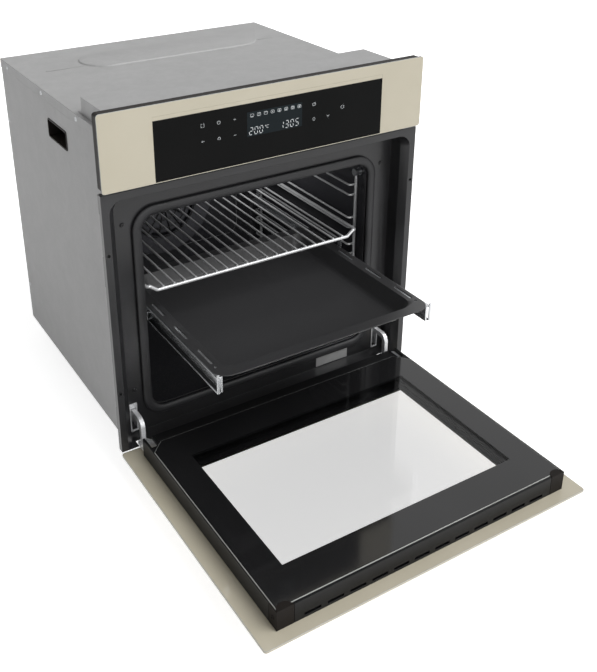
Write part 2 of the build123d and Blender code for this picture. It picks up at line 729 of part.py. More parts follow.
blower_motor_length = 42.0
blower_motor_half = 27.0
blower_motor_chamfer = 8.0
with BuildPart() as blower_motor:
    block((blower_half, blower_half + blower_motor_length),
          (blower_y - blower_motor_half, blower_y + blower_motor_half), (deck,
           blower_z + blower_motor_half))
    rod((blower_half - 1, blower_y, blower_z), (blower_half + blower_shaft_reach + 2, blower_y, blower_z),
        motor_shaft + fit_gap, Mode.SUBTRACT)
    chamfer(blower_motor.edges().filter_by(Axis.X).group_by(Axis.Z)[-1], blower_motor_chamfer)
blower_motor.part.label = "blower_motor"
export_step(blower_motor.part, "parts/blower_motor.step")

board_thickness = 1.6
board_rise = 12.0
board_size = (115.0, 130.0)
board_margins = (21.0, 85.0)
board_post_inset = 7.5
board_post_radius = 3.0
board_parts = (20.0, 26.0, 16.0)
board_parts_pitch = (40.0, 36.0)
with BuildPart() as power_board:
    board_x = -side_inner + board_margins[0] + board_size[0] / 2
    board_y = casing_depth - board_margins[1] - board_size[1] / 2
    board_top = deck + board_rise + board_thickness
    with Locations((board_x, board_y, board_top - board_thickness / 2)):
        Box(*board_size, board_thickness)
    with Locations((board_x, board_y, deck + board_rise / 2)):
        with GridLocations(board_size[0] - 2 * board_post_inset, board_size[1] - 2 * board_post_inset,
                           2, 2):
            Cylinder(board_post_radius, board_rise)
    with Locations((board_x, board_y, board_top + board_parts[2] / 2)):
        with GridLocations(*board_parts_pitch, 2, 3):
            Box(*board_parts)
power_board.part.label = "power_board"
export_step(power_board.part, "parts/power_board.step")

terminal_depth = 22.0
with BuildPart() as terminal_block:
    block((terminal_x - 32, terminal_x + 32), (casing_depth - sheet - terminal_depth, casing_depth - sheet),
          (terminal_z - 16, terminal_z + 16))
    with BuildSketch(Plane.XY.offset(terminal_z + 16)):
        with Locations((terminal_x, casing_depth - sheet - terminal_depth / 2)):
            with GridLocations(12, 10, 5, 2):
                Circle(3)
    extrude(amount=-8, mode=Mode.SUBTRACT)
terminal_block.part.label = "terminal_block"
export_step(terminal_block.part, "parts/terminal_block.step")

clamp_size = (44.0, 22.0)
with BuildPart() as cable_clamp:
    clamp_y = casing_depth - sheet
    with BuildSketch(front_view(clamp_y)):
        with Locations((terminal_x, clamp_z)):
            SlotOverall(*clamp_size)
            Circle(cord_hole, mode=Mode.SUBTRACT)
    extrude(amount=9)
cable_clamp.part.label = "cable_clamp"
export_step(cable_clamp.part, "parts/cable_clamp.step")

# Control panel: cream glass, black display insert and their housing
insert_side_margin = 86.5
insert_low_margin = 5.0
insert_high_margin = 18.7
insert_half = half_front - insert_side_margin
insert_low = panel_bottom + insert_low_margin
insert_high = front_top - insert_high_margin
panel_corner = 5.0
insert_gap = 0.2
with BuildPart() as panel_glass:
    with BuildSketch(front_view(glass_front)):
        window((-half_front, half_front), (panel_bottom, front_top), panel_corner)
        window((-insert_half, insert_half), (insert_low, insert_high), 0, Mode.SUBTRACT)
    extrude(amount=-glass_thickness)
panel_glass.part.label = "panel_glass"
export_step(panel_glass.part, "parts/panel_glass.step")

with BuildPart() as display_insert:
    with BuildSketch(front_view(glass_front)):
        window((-insert_half + insert_gap, insert_half - insert_gap),
               (insert_low + insert_gap, insert_high - insert_gap))
    extrude(amount=-glass_thickness)
display_insert.part.label = "display_insert"
export_step(display_insert.part, "parts/display_insert.step")

housing_wall = 2.0
housing_inset = 1.5
display_half = 51.0
display_rise = 38.5
display_height = 41.0
display_hole = (insert_low + display_rise, insert_low + display_rise + display_height)
with BuildPart() as panel_housing:
    with BuildSketch(front_view(glass_rear)):
        window((-half_front + housing_inset, half_front - housing_inset),
               (panel_bottom + housing_inset, front_top - housing_inset), panel_corner)
    extrude(amount=glass_rear)
    with BuildSketch(front_view(glass_rear + housing_wall)):
        window((-half_front + housing_inset + housing_wall, half_front - housing_inset - housing_wall),
               (panel_bottom + housing_inset + housing_wall, front_top - housing_inset - housing_wall),
               panel_corner - housing_wall)
    extrude(amount=glass_rear + housing_wall, mode=Mode.SUBTRACT)
    block((-display_half, display_half), (glass_rear - 1, glass_rear + housing_wall + 1), display_hole,
          Mode.SUBTRACT)
panel_housing.part.label = "panel_housing"
export_step(panel_housing.part, "parts/panel_housing.step")

touch_inset = 11.0
touch_margins = (8.5, 7.3)
spacer = (6.0, 4.0, 60.0)
spacer_inset = 10.0
display_clearance = 2.0
with BuildPart() as touch_board:
    board_front = glass_rear + housing_wall + spacer[1]
    touch_half = insert_half - touch_inset
    touch_z = (insert_low + touch_margins[0], insert_high - touch_margins[1])
    block((-touch_half, touch_half), (board_front, board_front + board_thickness), touch_z)
    with Locations((0, board_front - spacer[1] / 2, sum(touch_z) / 2)):
        with GridLocations(2 * (touch_half - spacer_inset), 0, 2, 1):
            Box(*spacer)
    block((-display_half + display_clearance, display_half - display_clearance),
          (glass_rear + fit_gap, board_front),
          (display_hole[0] + display_clearance, display_hole[1] - display_clearance))
touch_board.part.label = "touch_board"
export_step(touch_board.part, "parts/touch_board.step")

# Door glass: cream outer pane, clear middle pane, inner pane with clipped corners at the hinge end
pane_side = inner_half - door_wall - fit_gap
pane_level = inner_face - pane_thickness
pane_start = inner_start + end_profile_height + fit_gap
pane_margin = 5.0
pane_end = inner_end - pane_margin
middle_pane_margins = (4.0, 25.0)
pane_clip = 22.0
handle_screw = 2.5
with BuildPart() as door_glass_outer:
    with BuildSketch(door_level(outer_pane_low)):
        window((-half_front, half_front), (door_start, door_end), panel_corner)
        with Locations((-handle_post_x, handle_centre), (handle_post_x, handle_centre)):
            Circle(handle_screw + fit_gap, mode=Mode.SUBTRACT)
    extrude(amount=-glass_thickness)
door_glass_outer.part.label = "door_glass_outer"
export_step(door_glass_outer.part, "parts/door_glass_outer.step")

with BuildPart() as door_glass_inner:
    with BuildSketch(door_level(pane_level)) as pane:
        window((-pane_side, pane_side), (pane_start, pane_end))
        chamfer(pane.vertices().group_by(Axis.Y)[0], pane_clip)
    extrude(amount=-pane_thickness)
door_glass_inner.part.label = "door_glass_inner"
export_step(door_glass_inner.part, "parts/door_glass_inner.step")

with BuildPart() as door_glass_middle:
    door_block((-profile_inner + fit_gap, profile_inner - fit_gap),
               (pane_start + middle_pane_margins[0], inner_end - middle_pane_margins[1]),
               (middle_pane_level, middle_pane_level + middle_pane_thickness))
door_glass_middle.part.label = "door_glass_middle"
export_step(door_glass_middle.part, "parts/door_glass_middle.step")

# Door frame: two side profiles, top and bottom profiles, and caps over the free corners
ledge_low = pane_level - door_wall
base_high = outer_pane_high + door_wall
top_profile_height = 20.0
top_start = inner_end - top_profile_height
side_end = top_start - fit_gap
lip = 4.5
land_gap = 0.3
slot_half = hinge_slot_width / 2
slot_end = 50.0
for side, s in SIDES:
    with BuildPart() as door_side:
        with BuildSketch(front_view(pivot_y - inner_start)):
            window((s * profile_inner, s * inner_half), (pivot_z + outer_pane_high, pivot_z + pane_level))
            window((s * (profile_inner + door_wall), s * (inner_half - door_wall)),
                   (pivot_z + base_high, pivot_z + ledge_low), 0, Mode.SUBTRACT)
            window((s * (inner_half - door_wall), s * inner_half),
                   (pivot_z + pane_level, pivot_z + inner_face))
        extrude(amount=side_end - inner_start)
        door_block((s * (profile_inner - lip), s * profile_inner), (pane_start, side_end),
                   (middle_pane_level - door_wall, middle_pane_level))
        with BuildSketch(door_level(pane_level)):
            with BuildLine():
                clip_start = pane_start - land_gap
                clip_drop = pane_side - pane_clip
                Polyline((s * profile_inner, inner_start), (s * inner_half, inner_start),
                         (s * inner_half, clip_start + inner_half - clip_drop),
                         (s * (inner_half - door_wall), clip_start + inner_half - door_wall - clip_drop),
                         (s * profile_inner, clip_start + profile_inner - clip_drop), close=True)
            make_face()
        extrude(amount=-pane_thickness)
        door_block((s * hinge_x - slot_half, s * hinge_x + slot_half), (inner_start - 1, slot_end),
                   (ledge_low - 0.5, inner_face + 1), Mode.SUBTRACT)
    door_side.part.label = f"door_side_{side}"
    export_step(door_side.part, f"parts/door_side_{side}.step")

slot_pitch = 38.0
slot_length = 27.0
slot_height = 5.0
profile_half = profile_inner - fit_gap
with BuildPart() as door_bottom_profile:
    door_block((-profile_half, profile_half), (inner_start, inner_start + end_profile_height),
               (outer_pane_high, inner_face))
    door_block((-profile_half, profile_half), (inner_start + door_wall, inner_start + end_profile_height),
               (base_high, inner_face - door_wall), Mode.SUBTRACT)
    door_block((-profile_half, profile_half),
               (inner_start + end_profile_height - door_wall, pane_start + 8),
               (ledge_low, pane_level))
    door_block((-profile_half, profile_half),
               (inner_start + end_profile_height - door_wall, inner_start + end_profile_height),
               (pane_level, inner_face))
    with BuildSketch(front_view(pivot_y - inner_start)):
        with Locations((0, pivot_z + outer_pane_high + door_wall + slot_height)):
            with GridLocations(slot_pitch, 1, int(2 * profile_half / slot_pitch), 1):
                Rectangle(slot_length, slot_height)
    extrude(amount=door_wall, mode=Mode.SUBTRACT)
door_bottom_profile.part.label = "door_bottom_profile"
export_step(door_bottom_profile.part, "parts/door_bottom_profile.step")

top_half = inner_half - cap_width - fit_gap
with BuildPart() as door_top_profile:
    door_block((-top_half, top_half), (top_start, inner_end), (outer_pane_high, inner_face))
    door_block((-top_half, top_half), (top_start, inner_end - door_wall), (base_high, ledge_low),
               Mode.SUBTRACT)
    door_block((-top_half, top_half), (top_start, pane_end + fit_gap), (pane_level, inner_face),
               Mode.SUBTRACT)
    with BuildSketch(front_view(pivot_y - inner_end)):
        with Locations((0, pivot_z + outer_pane_high + door_wall + slot_height)):
            with GridLocations(slot_pitch, 1, int(2 * top_half / slot_pitch), 1):
                Rectangle(slot_length, slot_height)
    extrude(amount=-door_wall, mode=Mode.SUBTRACT)
door_top_profile.part.label = "door_top_profile"
export_step(door_top_profile.part, "parts/door_top_profile.step")

tongue_radius = 12.0
tongue_length = 26.0
tongue_rise = 0.7
cap_screw_drop = 17.0
cap_screw_margin = 10.0
cap_screw_level = inner_face - cap_screw_drop
cap_y = pivot_y - inner_end + cap_screw_margin
with BuildPart() as door_caps:
    for s in (-1, 1):
        inner_x = s * (inner_half - cap_width)
        door_block((inner_x, s * inner_half), (top_start, inner_end), (outer_pane_high, inner_face))
        door_block((inner_x, s * (inner_half - door_wall)), (top_start, pane_end + fit_gap),
                   (pane_level, inner_face), Mode.SUBTRACT)
        door_block((inner_x, s * (inner_half - 2 * door_wall)), (top_start, inner_end - 2 * door_wall),
                   (base_high, ledge_low), Mode.SUBTRACT)
        with BuildSketch(door_level(inner_face)):
            with Locations((s * (inner_half - cap_width / 2), inner_end)):
                SlotOverall(tongue_length, 2 * tongue_radius)
            window((inner_x - s, s * (inner_half + 1)), (inner_end, inner_end + 2 * tongue_radius), 0,
                   Mode.SUBTRACT)
        extrude(amount=-tongue_rise)
        rod((s * (inner_half - 4 * door_wall), cap_y, pivot_z + cap_screw_level),
            (s * (inner_half + 1), cap_y, pivot_z + cap_screw_level), screw_hole, Mode.SUBTRACT)
door_caps.part.label = "door_caps"
export_step(door_caps.part, "parts/door_caps.step")

# Handle: a flat bar on two posts, screwed on through the outer pane
bar_low = outer_pane_low - handle_stand_off
with BuildPart() as handle_bar:
    door_block((-handle_half, handle_half),
               (handle_centre - handle_bar_height / 2, handle_centre + handle_bar_height / 2),
               (bar_low, bar_low + handle_bar_depth))
    fillet(handle_bar.edges().filter_by(Axis.X), 2)
handle_bar.part.label = "handle_bar"
export_step(handle_bar.part, "parts/handle_bar.step")

with BuildPart() as handle_posts:
    for s in (-1, 1):
        door_block((s * handle_post_x - handle_post_width / 2, s * handle_post_x + handle_post_width / 2),
                   (handle_centre - handle_bar_height / 2 + 1, handle_centre + handle_bar_height / 2 - 1),
                   (bar_low + handle_bar_depth, outer_pane_low))
        rod((s * handle_post_x, pivot_y - handle_centre, pivot_z + outer_pane_low - 12),
            (s * handle_post_x, pivot_y - handle_centre, pivot_z + outer_pane_low), handle_screw + fit_gap,
            Mode.SUBTRACT)
handle_posts.part.label = "handle_posts"
export_step(handle_posts.part, "parts/handle_posts.step")

with BuildPart() as door_screws:
    for s in (-1, 1):
        z = pivot_z + cap_screw_level
        rod((s * inner_half, cap_y, z), (s * (inner_half + screw_head_height), cap_y, z), screw_head)
        rod((s * (inner_half - screw_length), cap_y, z), (s * inner_half, cap_y, z), screw_shank)
        centre = (s * handle_post_x, pivot_y - handle_centre)
        rod((*centre, pivot_z + outer_pane_low - 11), (*centre, pivot_z + outer_pane_high), handle_screw)
        rod((*centre, pivot_z + outer_pane_high), (*centre, pivot_z + outer_pane_high + 2),
            handle_screw + 0.7)
door_screws.part.label = "door_screws"
export_step(door_screws.part, "parts/door_screws.step")

# Hinges: an arm hooked into a receiver behind the frame, and a sprung channel inside the door
arm_top = 44.0
arm_end = 44.0
arm_bend = 12.0
hook_drop = 12.0
arm_eye = 6.5
receiver_depth = 34.0
receiver_wall = 1.5
receiver_bottom = 10.0
receiver_top = 62.0
face_plate_half = 7.0
face_plate_thickness = 1.0
face_plate_drop = 2.5
face_plate_rise = 9.0
lip_inner = 5.0
lip_outer = slot_half - fit_gap
lip_reach = 2.5
for side, s in SIDES:
    with BuildPart() as hinge_arm:
        with BuildSketch(Plane.YZ.offset(s * hinge_x - arm_thickness / 2)):
            with BuildLine():
                FilletPolyline((pivot_y, pivot_z), (pivot_y, pivot_z + arm_top),
                               (arm_end, pivot_z + arm_top),
                               (arm_end, pivot_z + arm_top - hook_drop), radius=(arm_bend,
                                arm_band / 2 + 0.5))
            trace(line_width=arm_band)
            with Locations((pivot_y, pivot_z)):
                Circle(arm_eye)
                Circle(pin_radius + fit_gap, mode=Mode.SUBTRACT)
        extrude(amount=arm_thickness)
    hinge_arm.part.label = f"hinge_arm_{side}"
    export_step(hinge_arm.part, f"parts/hinge_arm_{side}.step")

    with BuildPart() as hinge_body:
        half = hinge_body_width / 2
        for x in (-half, half - hinge_cheek):
            with BuildSketch(Plane.YZ.offset(s * hinge_x + x)):
                with BuildLine():
                    low, high = base_high + 0.7, ledge_low - 1.6
                    Polyline((pivot_y, pivot_z - hinge_eye), (pivot_y - 14, pivot_z + low),
                             (pivot_y - hinge_body_length, pivot_z + low),
                             (pivot_y - hinge_body_length, pivot_z + high),
                             (pivot_y - inner_start, pivot_z + high), (pivot_y,
                              pivot_z + hinge_eye), close=True)
                make_face()
                with Locations((pivot_y, pivot_z)):
                    Circle(hinge_eye)
                    Circle(pin_radius + 0.1, mode=Mode.SUBTRACT)
            extrude(amount=hinge_cheek)
        door_block((s * hinge_x - half, s * hinge_x + half), (slot_end + 2, hinge_body_length),
                   (base_high + 0.7, base_high + 0.7 + hinge_cheek))
    hinge_body.part.label = f"hinge_body_{side}"
    export_step(hinge_body.part, f"parts/hinge_body_{side}.step")

with BuildPart() as hinge_pins:
    for s in (-1, 1):
        half = hinge_body_width / 2
        rod((s * hinge_x - half - 1, pivot_y, pivot_z), (s * hinge_x + half + 1, pivot_y, pivot_z),
            pin_radius)
        for x in (-half - 1, half):
            rod((s * hinge_x + x, pivot_y, pivot_z), (s * hinge_x + x + 1, pivot_y, pivot_z),
                pin_radius + 1.5)
hinge_pins.part.label = "hinge_pins"
export_step(hinge_pins.part, "parts/hinge_pins.step")

# The receivers end in a bright plate on the door seat, with lips that line the slot in the frame
with BuildPart() as hinge_receivers:
    for s in (-1, 1):
        half = hinge_body_width / 2 + 1
        block((s * hinge_x - half, s * hinge_x + half), (seat_rear, seat_rear + receiver_depth),
              (receiver_bottom, receiver_top))
        block((s * hinge_x - half + receiver_wall, s * hinge_x + half - receiver_wall),
              (seat_rear, seat_rear + receiver_depth - receiver_wall), (receiver_bottom - 1,
               receiver_top + 1),
              Mode.SUBTRACT)
        rest_y = arm_end - arm_band / 2 - fit_gap - pin_radius
        rest_z = pivot_z + arm_top - arm_band / 2 - fit_gap - pin_radius
        rod((s * hinge_x - half, rest_y, rest_z), (s * hinge_x + half, rest_y, rest_z), pin_radius)
        slot_heights = (hinge_slot_bottom + fit_gap, hinge_slot_top - fit_gap)
        with BuildSketch(front_view(seat_front)):
            window((s * hinge_x - face_plate_half, s * hinge_x + face_plate_half),
                   (hinge_slot_bottom - face_plate_drop,
                    hinge_slot_top + face_plate_rise), face_plate_thickness)
            window((s * hinge_x - lip_inner, s * hinge_x + lip_inner), slot_heights, 0, Mode.SUBTRACT)
        extrude(amount=face_plate_thickness)
        for t in (-1, 1):
            block((s * hinge_x + t * lip_inner, s * hinge_x + t * lip_outer),
                  (seat_front - face_plate_thickness, seat_rear + lip_reach), slot_heights)
            block((s * hinge_x + t * lip_inner, s * hinge_x + t * (half - receiver_wall / 2)),
                  (seat_rear + fit_gap, seat_rear + lip_reach), slot_heights)
hinge_receivers.part.label = "hinge_receivers"
export_step(hinge_receivers.part, "parts/hinge_receivers.step")

# Side racks: bent wires welded between a front and a rear post, hooked low and held by a knob high
knob_radius = 7.0
knob_drop = 35.0
knob_z = cavity_ceiling - knob_drop
rack_top = knob_z - knob_radius - fit_gap
wire_heights = [centre + step for centre in level_centres for step in (-level_gap / 2, level_gap / 2)]
for side, s in SIDES:
    with BuildPart() as side_rack:
        for y in (rack_front, rack_rear):
            rod((s * rack_post_x, y, rack_bottom - post_radius), (s * rack_post_x, y, rack_top),
                post_radius)
            rod((s * rack_post_x, y, rack_bottom), (s * (cavity_half + sheet), y, rack_bottom), post_radius)
        for z in wire_heights:
            with BuildLine() as wire:
                Polyline((s * rack_post_x, rack_front, z), (s * rack_wire_x, rack_front, z),
                         (s * rack_wire_x, rack_rear, z), (s * rack_post_x, rack_rear, z))
            with BuildSketch(Plane(origin=(s * rack_post_x, rack_front, z), z_dir=(-s, 0, 0))):
                Circle(wire_radius)
            sweep(path=wire.wires()[0], transition=Transition.RIGHT)
    side_rack.part.label = f"side_rack_{side}"
    export_step(side_rack.part, f"parts/side_rack_{side}.step")

with BuildPart() as rack_knobs:
    for s in (-1, 1):
        for y in (rack_front, rack_rear):
            rod((s * (cavity_half - 2), y, knob_z), (s * cavity_half, y, knob_z), knob_radius)
            rod((s * (rack_post_x - 3), y, knob_z), (s * (cavity_half - 2), y, knob_z), knob_radius - 1.5)
            rod((s * (rack_post_x - 5), y, knob_z), (s * (rack_post_x - 3), y, knob_z), knob_radius)
rack_knobs.part.label = "rack_knobs"
export_step(rack_knobs.part, "parts/rack_knobs.step")

# Telescopic runners: a fixed rail clipped to the rack, a ball cage, and a moving rail under the tray rim
tray_rise = 2.0
tray_top = runner_level + tray_rise
rail_top = tray_top - tray_sheet - fit_gap
rail_height = 27.5
rail_middle = rail_top - rail_height / 2
moving_inset = (17.0, 7.0)
fixed_inset = (13.0, 3.5)
moving_x = (rack_wire_x - moving_inset[0], rack_wire_x - moving_inset[1])
fixed_x = (rack_wire_x - fixed_inset[0], rack_wire_x - fixed_inset[1])
fixed_half = 6.9
ball_offset = (fixed_half + rail_height / 2 - runner_wall) / 2
tray_overlap = 4.5
moving_start = tray_front + tray_overlap
tab_rise = 5.5
cage_start = 62.0
cage_length = 92.0
clip_margins = (23.0, 15.0)
clip_places = (rack_front + clip_margins[0], rack_rear - clip_margins[1])
clip_width = 12.0
wire_low = runner_level - level_gap / 2 - wire_radius - fit_gap
wire_high = runner_level + level_gap / 2 + wire_radius + fit_gap
with BuildPart() as moving_rails:
    for s in (-1, 1):
        with BuildSketch(front_view(moving_start)):
            window((s * moving_x[0], s * moving_x[1]), (rail_top - rail_height, rail_top))
            window((s * (moving_x[0] + runner_wall), s * (moving_x[1] + 1)),
                   (rail_top - rail_height + runner_wall, rail_top - runner_wall), 0, Mode.SUBTRACT)
        extrude(amount=-runner_length)
        block((s * moving_x[0], s * moving_x[1]), (moving_start, moving_start + 2),
              (rail_top - rail_height, rail_top + tab_rise))
moving_rails.part.label = "moving_rails"
export_step(moving_rails.part, "parts/moving_rails.step")

with BuildPart() as fixed_rails:
    for s in (-1, 1):
        with BuildSketch(front_view(fixed_start)):
            window((s * fixed_x[0], s * fixed_x[1]), (rail_middle - fixed_half, rail_middle + fixed_half))
            window((s * (fixed_x[0] - 1), s * (fixed_x[1] - runner_wall)),
                   (rail_middle - fixed_half + runner_wall, rail_middle + fixed_half - runner_wall), 0,
                   Mode.SUBTRACT)
        extrude(amount=-runner_length)
        clip_x = (s * fixed_x[1], s * (rack_wire_x - wire_radius - fit_gap))
        hook_x = (s * fixed_x[1], s * (rack_wire_x + wire_radius))
        for y in clip_places:
            reach = (y - clip_width / 2, y + clip_width / 2)
            block(clip_x, reach, (wire_low - runner_wall, wire_high + runner_wall))
            block(hook_x, reach, (wire_low - runner_wall, wire_low))
            block(hook_x, reach, (wire_high, wire_high + runner_wall))
fixed_rails.part.label = "fixed_rails"
export_step(fixed_rails.part, "parts/fixed_rails.step")

with BuildPart() as ball_cages:
    for s in (-1, 1):
        cage_x = (moving_x[0] + runner_wall + 0.8, moving_x[0] + runner_wall + 1.7)
        block((s * cage_x[0], s * cage_x[1]), (cage_start, cage_start + cage_length),
              (rail_middle - ball_offset - 0.5, rail_middle + ball_offset + 0.5))
        for sign in (-1, 1):
            level = rail_middle + sign * ball_offset
            block((s * cage_x[0], s * (cage_x[0] + 6.5)), (cage_start, cage_start + cage_length),
                  (level - 0.5, level + 0.5))
            with Locations(*[(s * (cage_x[0] + 4), cage_start + 10 + 24 * n, level) for n in range(4)]):
                Sphere(ball_radius)
ball_cages.part.label = "ball_cages"
export_step(ball_cages.part, "parts/ball_cages.step")

# Baking tray: a flat rim round a pan with sloping walls
tray_middle = tray_front + tray_length / 2
pan_wall_slope = 13.0
pan_corner = 24.0
slot_offsets = (-126.0, -42.0, 42.0, 126.0)
tray_slot = (46.0, 5.0)
tray_hole = 2.5
with BuildPart() as baking_tray:
    with BuildSketch(Plane.XY.offset(tray_top - tray_sheet)):
        with Locations((0, tray_middle)):
            RectangleRounded(2 * tray_half, tray_length, tray_corner)
    extrude(amount=tray_sheet)
    for shrink, low, mode in ((0.0, tray_top - tray_depth, Mode.ADD),
                              (tray_sheet, tray_top - tray_depth + tray_sheet, Mode.SUBTRACT)):
        with BuildSketch(Plane.XY.offset(tray_top), mode=Mode.PRIVATE) as brim:
            with Locations((0, tray_middle)):
                inset = tray_rim + shrink
                RectangleRounded(2 * (tray_half - inset), tray_length - 2 * inset, pan_corner)
        with BuildSketch(Plane.XY.offset(low), mode=Mode.PRIVATE) as pan:
            with Locations((0, tray_middle)):
                inset = tray_rim + pan_wall_slope + shrink
                RectangleRounded(2 * (tray_half - inset), tray_length - 2 * inset, pan_corner)
        loft([brim.sketch, pan.sketch], ruled=True, mode=mode)
    with BuildSketch(Plane.XY.offset(tray_top - tray_sheet)):
        for s in (-1, 1):
            x = s * (tray_half - tray_rim / 2)
            with Locations(*[(x, tray_middle + offset) for offset in slot_offsets]):
                SlotOverall(*tray_slot, rotation=90)
            with Locations((x, tray_front + tray_corner + 6),
                           (x, tray_front + tray_length - tray_corner - 6)):
                Circle(tray_hole)
    extrude(amount=tray_sheet, mode=Mode.SUBTRACT)
baking_tray.part.label = "baking_tray"
export_step(baking_tray.part, "parts/baking_tray.step")

# Wire shelf: a bent frame that slides between a pair of rack wires, with cross rods on top
shelf_front = 40.0
shelf_rear_space = 52.0
shelf_rear = cavity_rear - shelf_rear_space
shelf_side = rack_wire_x
frame_rod = 3.0
cross_rod = 2.0
cross_margin = 30.2
cross_count = 19
cross_pitch = 2 * (shelf_side - cross_margin) / (cross_count - 1)
shelf_step = 10.0
rod_overhang = 1.0
side_z = shelf_level - level_gap / 2 + wire_radius + fit_gap + frame_rod
bar_z = side_z - shelf_step
bend_insets = (19.0, 6.0)
bend_in = (shelf_side - bend_insets[0], shelf_side - bend_insets[1])
with BuildPart() as wire_shelf:
    front_row = [(-shelf_side, side_z), (-bend_in[1], side_z), (-bend_in[0], bar_z)]
    front_row += [(-x, z) for x, z in reversed(front_row)]
    corners = [(x, shelf_front, z) for x, z in front_row]
    corners += [(x, shelf_rear, z) for x, z in reversed(front_row)]
    for a, b in zip(corners, corners[1:] + corners[:1]):
        rod(a, b, frame_rod)
    with Locations(*corners):
        Sphere(frame_rod)
    for n in range(cross_count):
        x = (n - (cross_count - 1) / 2) * cross_pitch
        z = bar_z + frame_rod + cross_rod / 2
        rod((x, shelf_front - rod_overhang, z), (x, shelf_rear + rod_overhang, z), cross_rod)
wire_shelf.part.label = "wire_shelf"
export_step(wire_shelf.part, "parts/wire_shelf.step")
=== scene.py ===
# %% [markdown]
# # A built-in oven with its door open
# The CAD model gives every part its shape and place. This file adds what the eye
# needs: steel, enamel and glass finishes, rounded edges, bent wires, screw heads,
# the lit display, studio light and a camera. Blender works in metres, so sizes
# written in millimetres are multiplied by MM.

# %% Load the frame
import json
import math

import bmesh
import bpy
from mathutils import Matrix, Vector

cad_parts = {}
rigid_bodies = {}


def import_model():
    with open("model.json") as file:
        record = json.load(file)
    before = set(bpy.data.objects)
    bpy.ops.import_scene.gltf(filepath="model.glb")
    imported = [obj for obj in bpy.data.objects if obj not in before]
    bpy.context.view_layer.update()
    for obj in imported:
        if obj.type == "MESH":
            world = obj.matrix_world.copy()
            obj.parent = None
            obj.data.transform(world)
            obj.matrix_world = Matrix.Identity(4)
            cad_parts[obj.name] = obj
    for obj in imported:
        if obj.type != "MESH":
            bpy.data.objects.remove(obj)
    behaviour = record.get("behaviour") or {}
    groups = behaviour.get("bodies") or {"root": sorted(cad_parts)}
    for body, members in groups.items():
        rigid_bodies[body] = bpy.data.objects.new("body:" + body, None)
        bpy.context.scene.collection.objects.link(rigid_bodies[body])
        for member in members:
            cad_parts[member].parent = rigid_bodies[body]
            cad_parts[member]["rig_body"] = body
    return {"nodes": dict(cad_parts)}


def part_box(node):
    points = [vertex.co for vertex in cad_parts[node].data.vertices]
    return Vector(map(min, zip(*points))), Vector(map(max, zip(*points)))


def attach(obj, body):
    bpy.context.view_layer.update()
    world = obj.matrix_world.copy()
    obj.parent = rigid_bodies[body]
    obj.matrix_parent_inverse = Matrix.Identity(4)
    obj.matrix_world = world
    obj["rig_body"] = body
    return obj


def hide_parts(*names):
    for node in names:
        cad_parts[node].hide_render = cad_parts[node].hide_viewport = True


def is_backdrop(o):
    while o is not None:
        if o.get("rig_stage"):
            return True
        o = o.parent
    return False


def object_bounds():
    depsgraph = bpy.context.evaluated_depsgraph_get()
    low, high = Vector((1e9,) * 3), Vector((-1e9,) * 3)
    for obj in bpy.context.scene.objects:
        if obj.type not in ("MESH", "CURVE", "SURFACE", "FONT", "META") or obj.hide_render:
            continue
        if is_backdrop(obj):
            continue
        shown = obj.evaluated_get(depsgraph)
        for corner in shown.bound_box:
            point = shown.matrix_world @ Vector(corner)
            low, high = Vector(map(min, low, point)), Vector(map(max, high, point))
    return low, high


MM = 0.001
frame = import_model()
nodes = frame["nodes"]
cad_low, cad_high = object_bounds()
print("CAD nodes:", len(nodes), "box", [round(v, 4) for v in (*cad_low, *cad_high)])

# %% [markdown]
# ## Camera
# The photograph looks down on the oven from its front left corner. The camera's
# place, turn and lens were worked out from the corners of the control panel, casing
# and door. The lens is shifted, because the photograph's uprights hardly converge.

# %% Camera
def in_scene(name, data):
    """A new object that holds the data, linked into the scene."""
    made = bpy.data.objects.new(name, data)
    bpy.context.scene.collection.objects.link(made)
    return made


CAMERA_PLACE = (-0.7365, -1.20995, 1.00906)
CAMERA_YAW, CAMERA_PITCH, CAMERA_ROLL = (math.radians(a) for a in (30.61, 24.61, -0.56))
LENS, SENSOR_WIDTH = 49.76, 36
SHIFT_ASIDE, SHIFT_UP = 0.0597, -0.1745

camera_data = bpy.data.cameras.new("photo_camera")
camera_data.lens = LENS
camera_data.sensor_width = SENSOR_WIDTH
camera_data.shift_x = SHIFT_ASIDE
camera_data.shift_y = SHIFT_UP
camera = in_scene("photo_camera", camera_data)
ahead = Vector((
    math.sin(CAMERA_YAW) * math.cos(CAMERA_PITCH),
    math.cos(CAMERA_YAW) * math.cos(CAMERA_PITCH),
    -math.sin(CAMERA_PITCH),
))
level = Vector((math.cos(CAMERA_YAW), -math.sin(CAMERA_YAW), 0))
right = Matrix.Rotation(-CAMERA_ROLL, 3, ahead) @ level
above = right.cross(ahead)
turned = Matrix((right, above, -ahead)).transposed().to_4x4()
camera.matrix_world = Matrix.Translation(CAMERA_PLACE) @ turned
bpy.context.scene.camera = camera
print("camera looks", [round(v, 3) for v in ahead])

# %% [markdown]
# ## One way to write a colour, a node and a pattern
# Colours are picked as sRGB hex values, the way a paint card or a picture editor
# gives them, and the shaders want linear light, so one function turns them over.
# Another adds a shader node with its settings, values and links in one line. Every
# finish varies a little in tone, in gloss and in relief, so these are laid on alike.

# %% Colour, node and pattern helpers
def linear(hex_colour):
    """A colour such as #CEC7B4 as linear red, green, blue and 1."""
    levels = [int(hex_colour[i:i + 2], 16) / 255 for i in (1, 3, 5)]
    return [v / 12.92 if v <= 0.04045 else ((v + 0.055) / 1.055) ** 2.4 for v in levels] + [1]


def add(tree, kind, inputs=None, **settings):
    """Adds a node. inputs maps a socket's name or number to a value or to another node's output."""
    made = tree.nodes.new(kind)
    for name, value in settings.items():
        setattr(made, name, value)
    for name, value in (inputs or {}).items():
        if isinstance(value, bpy.types.NodeSocket):
            tree.links.new(value, made.inputs[name])
        else:
            made.inputs[name].default_value = value
    return made


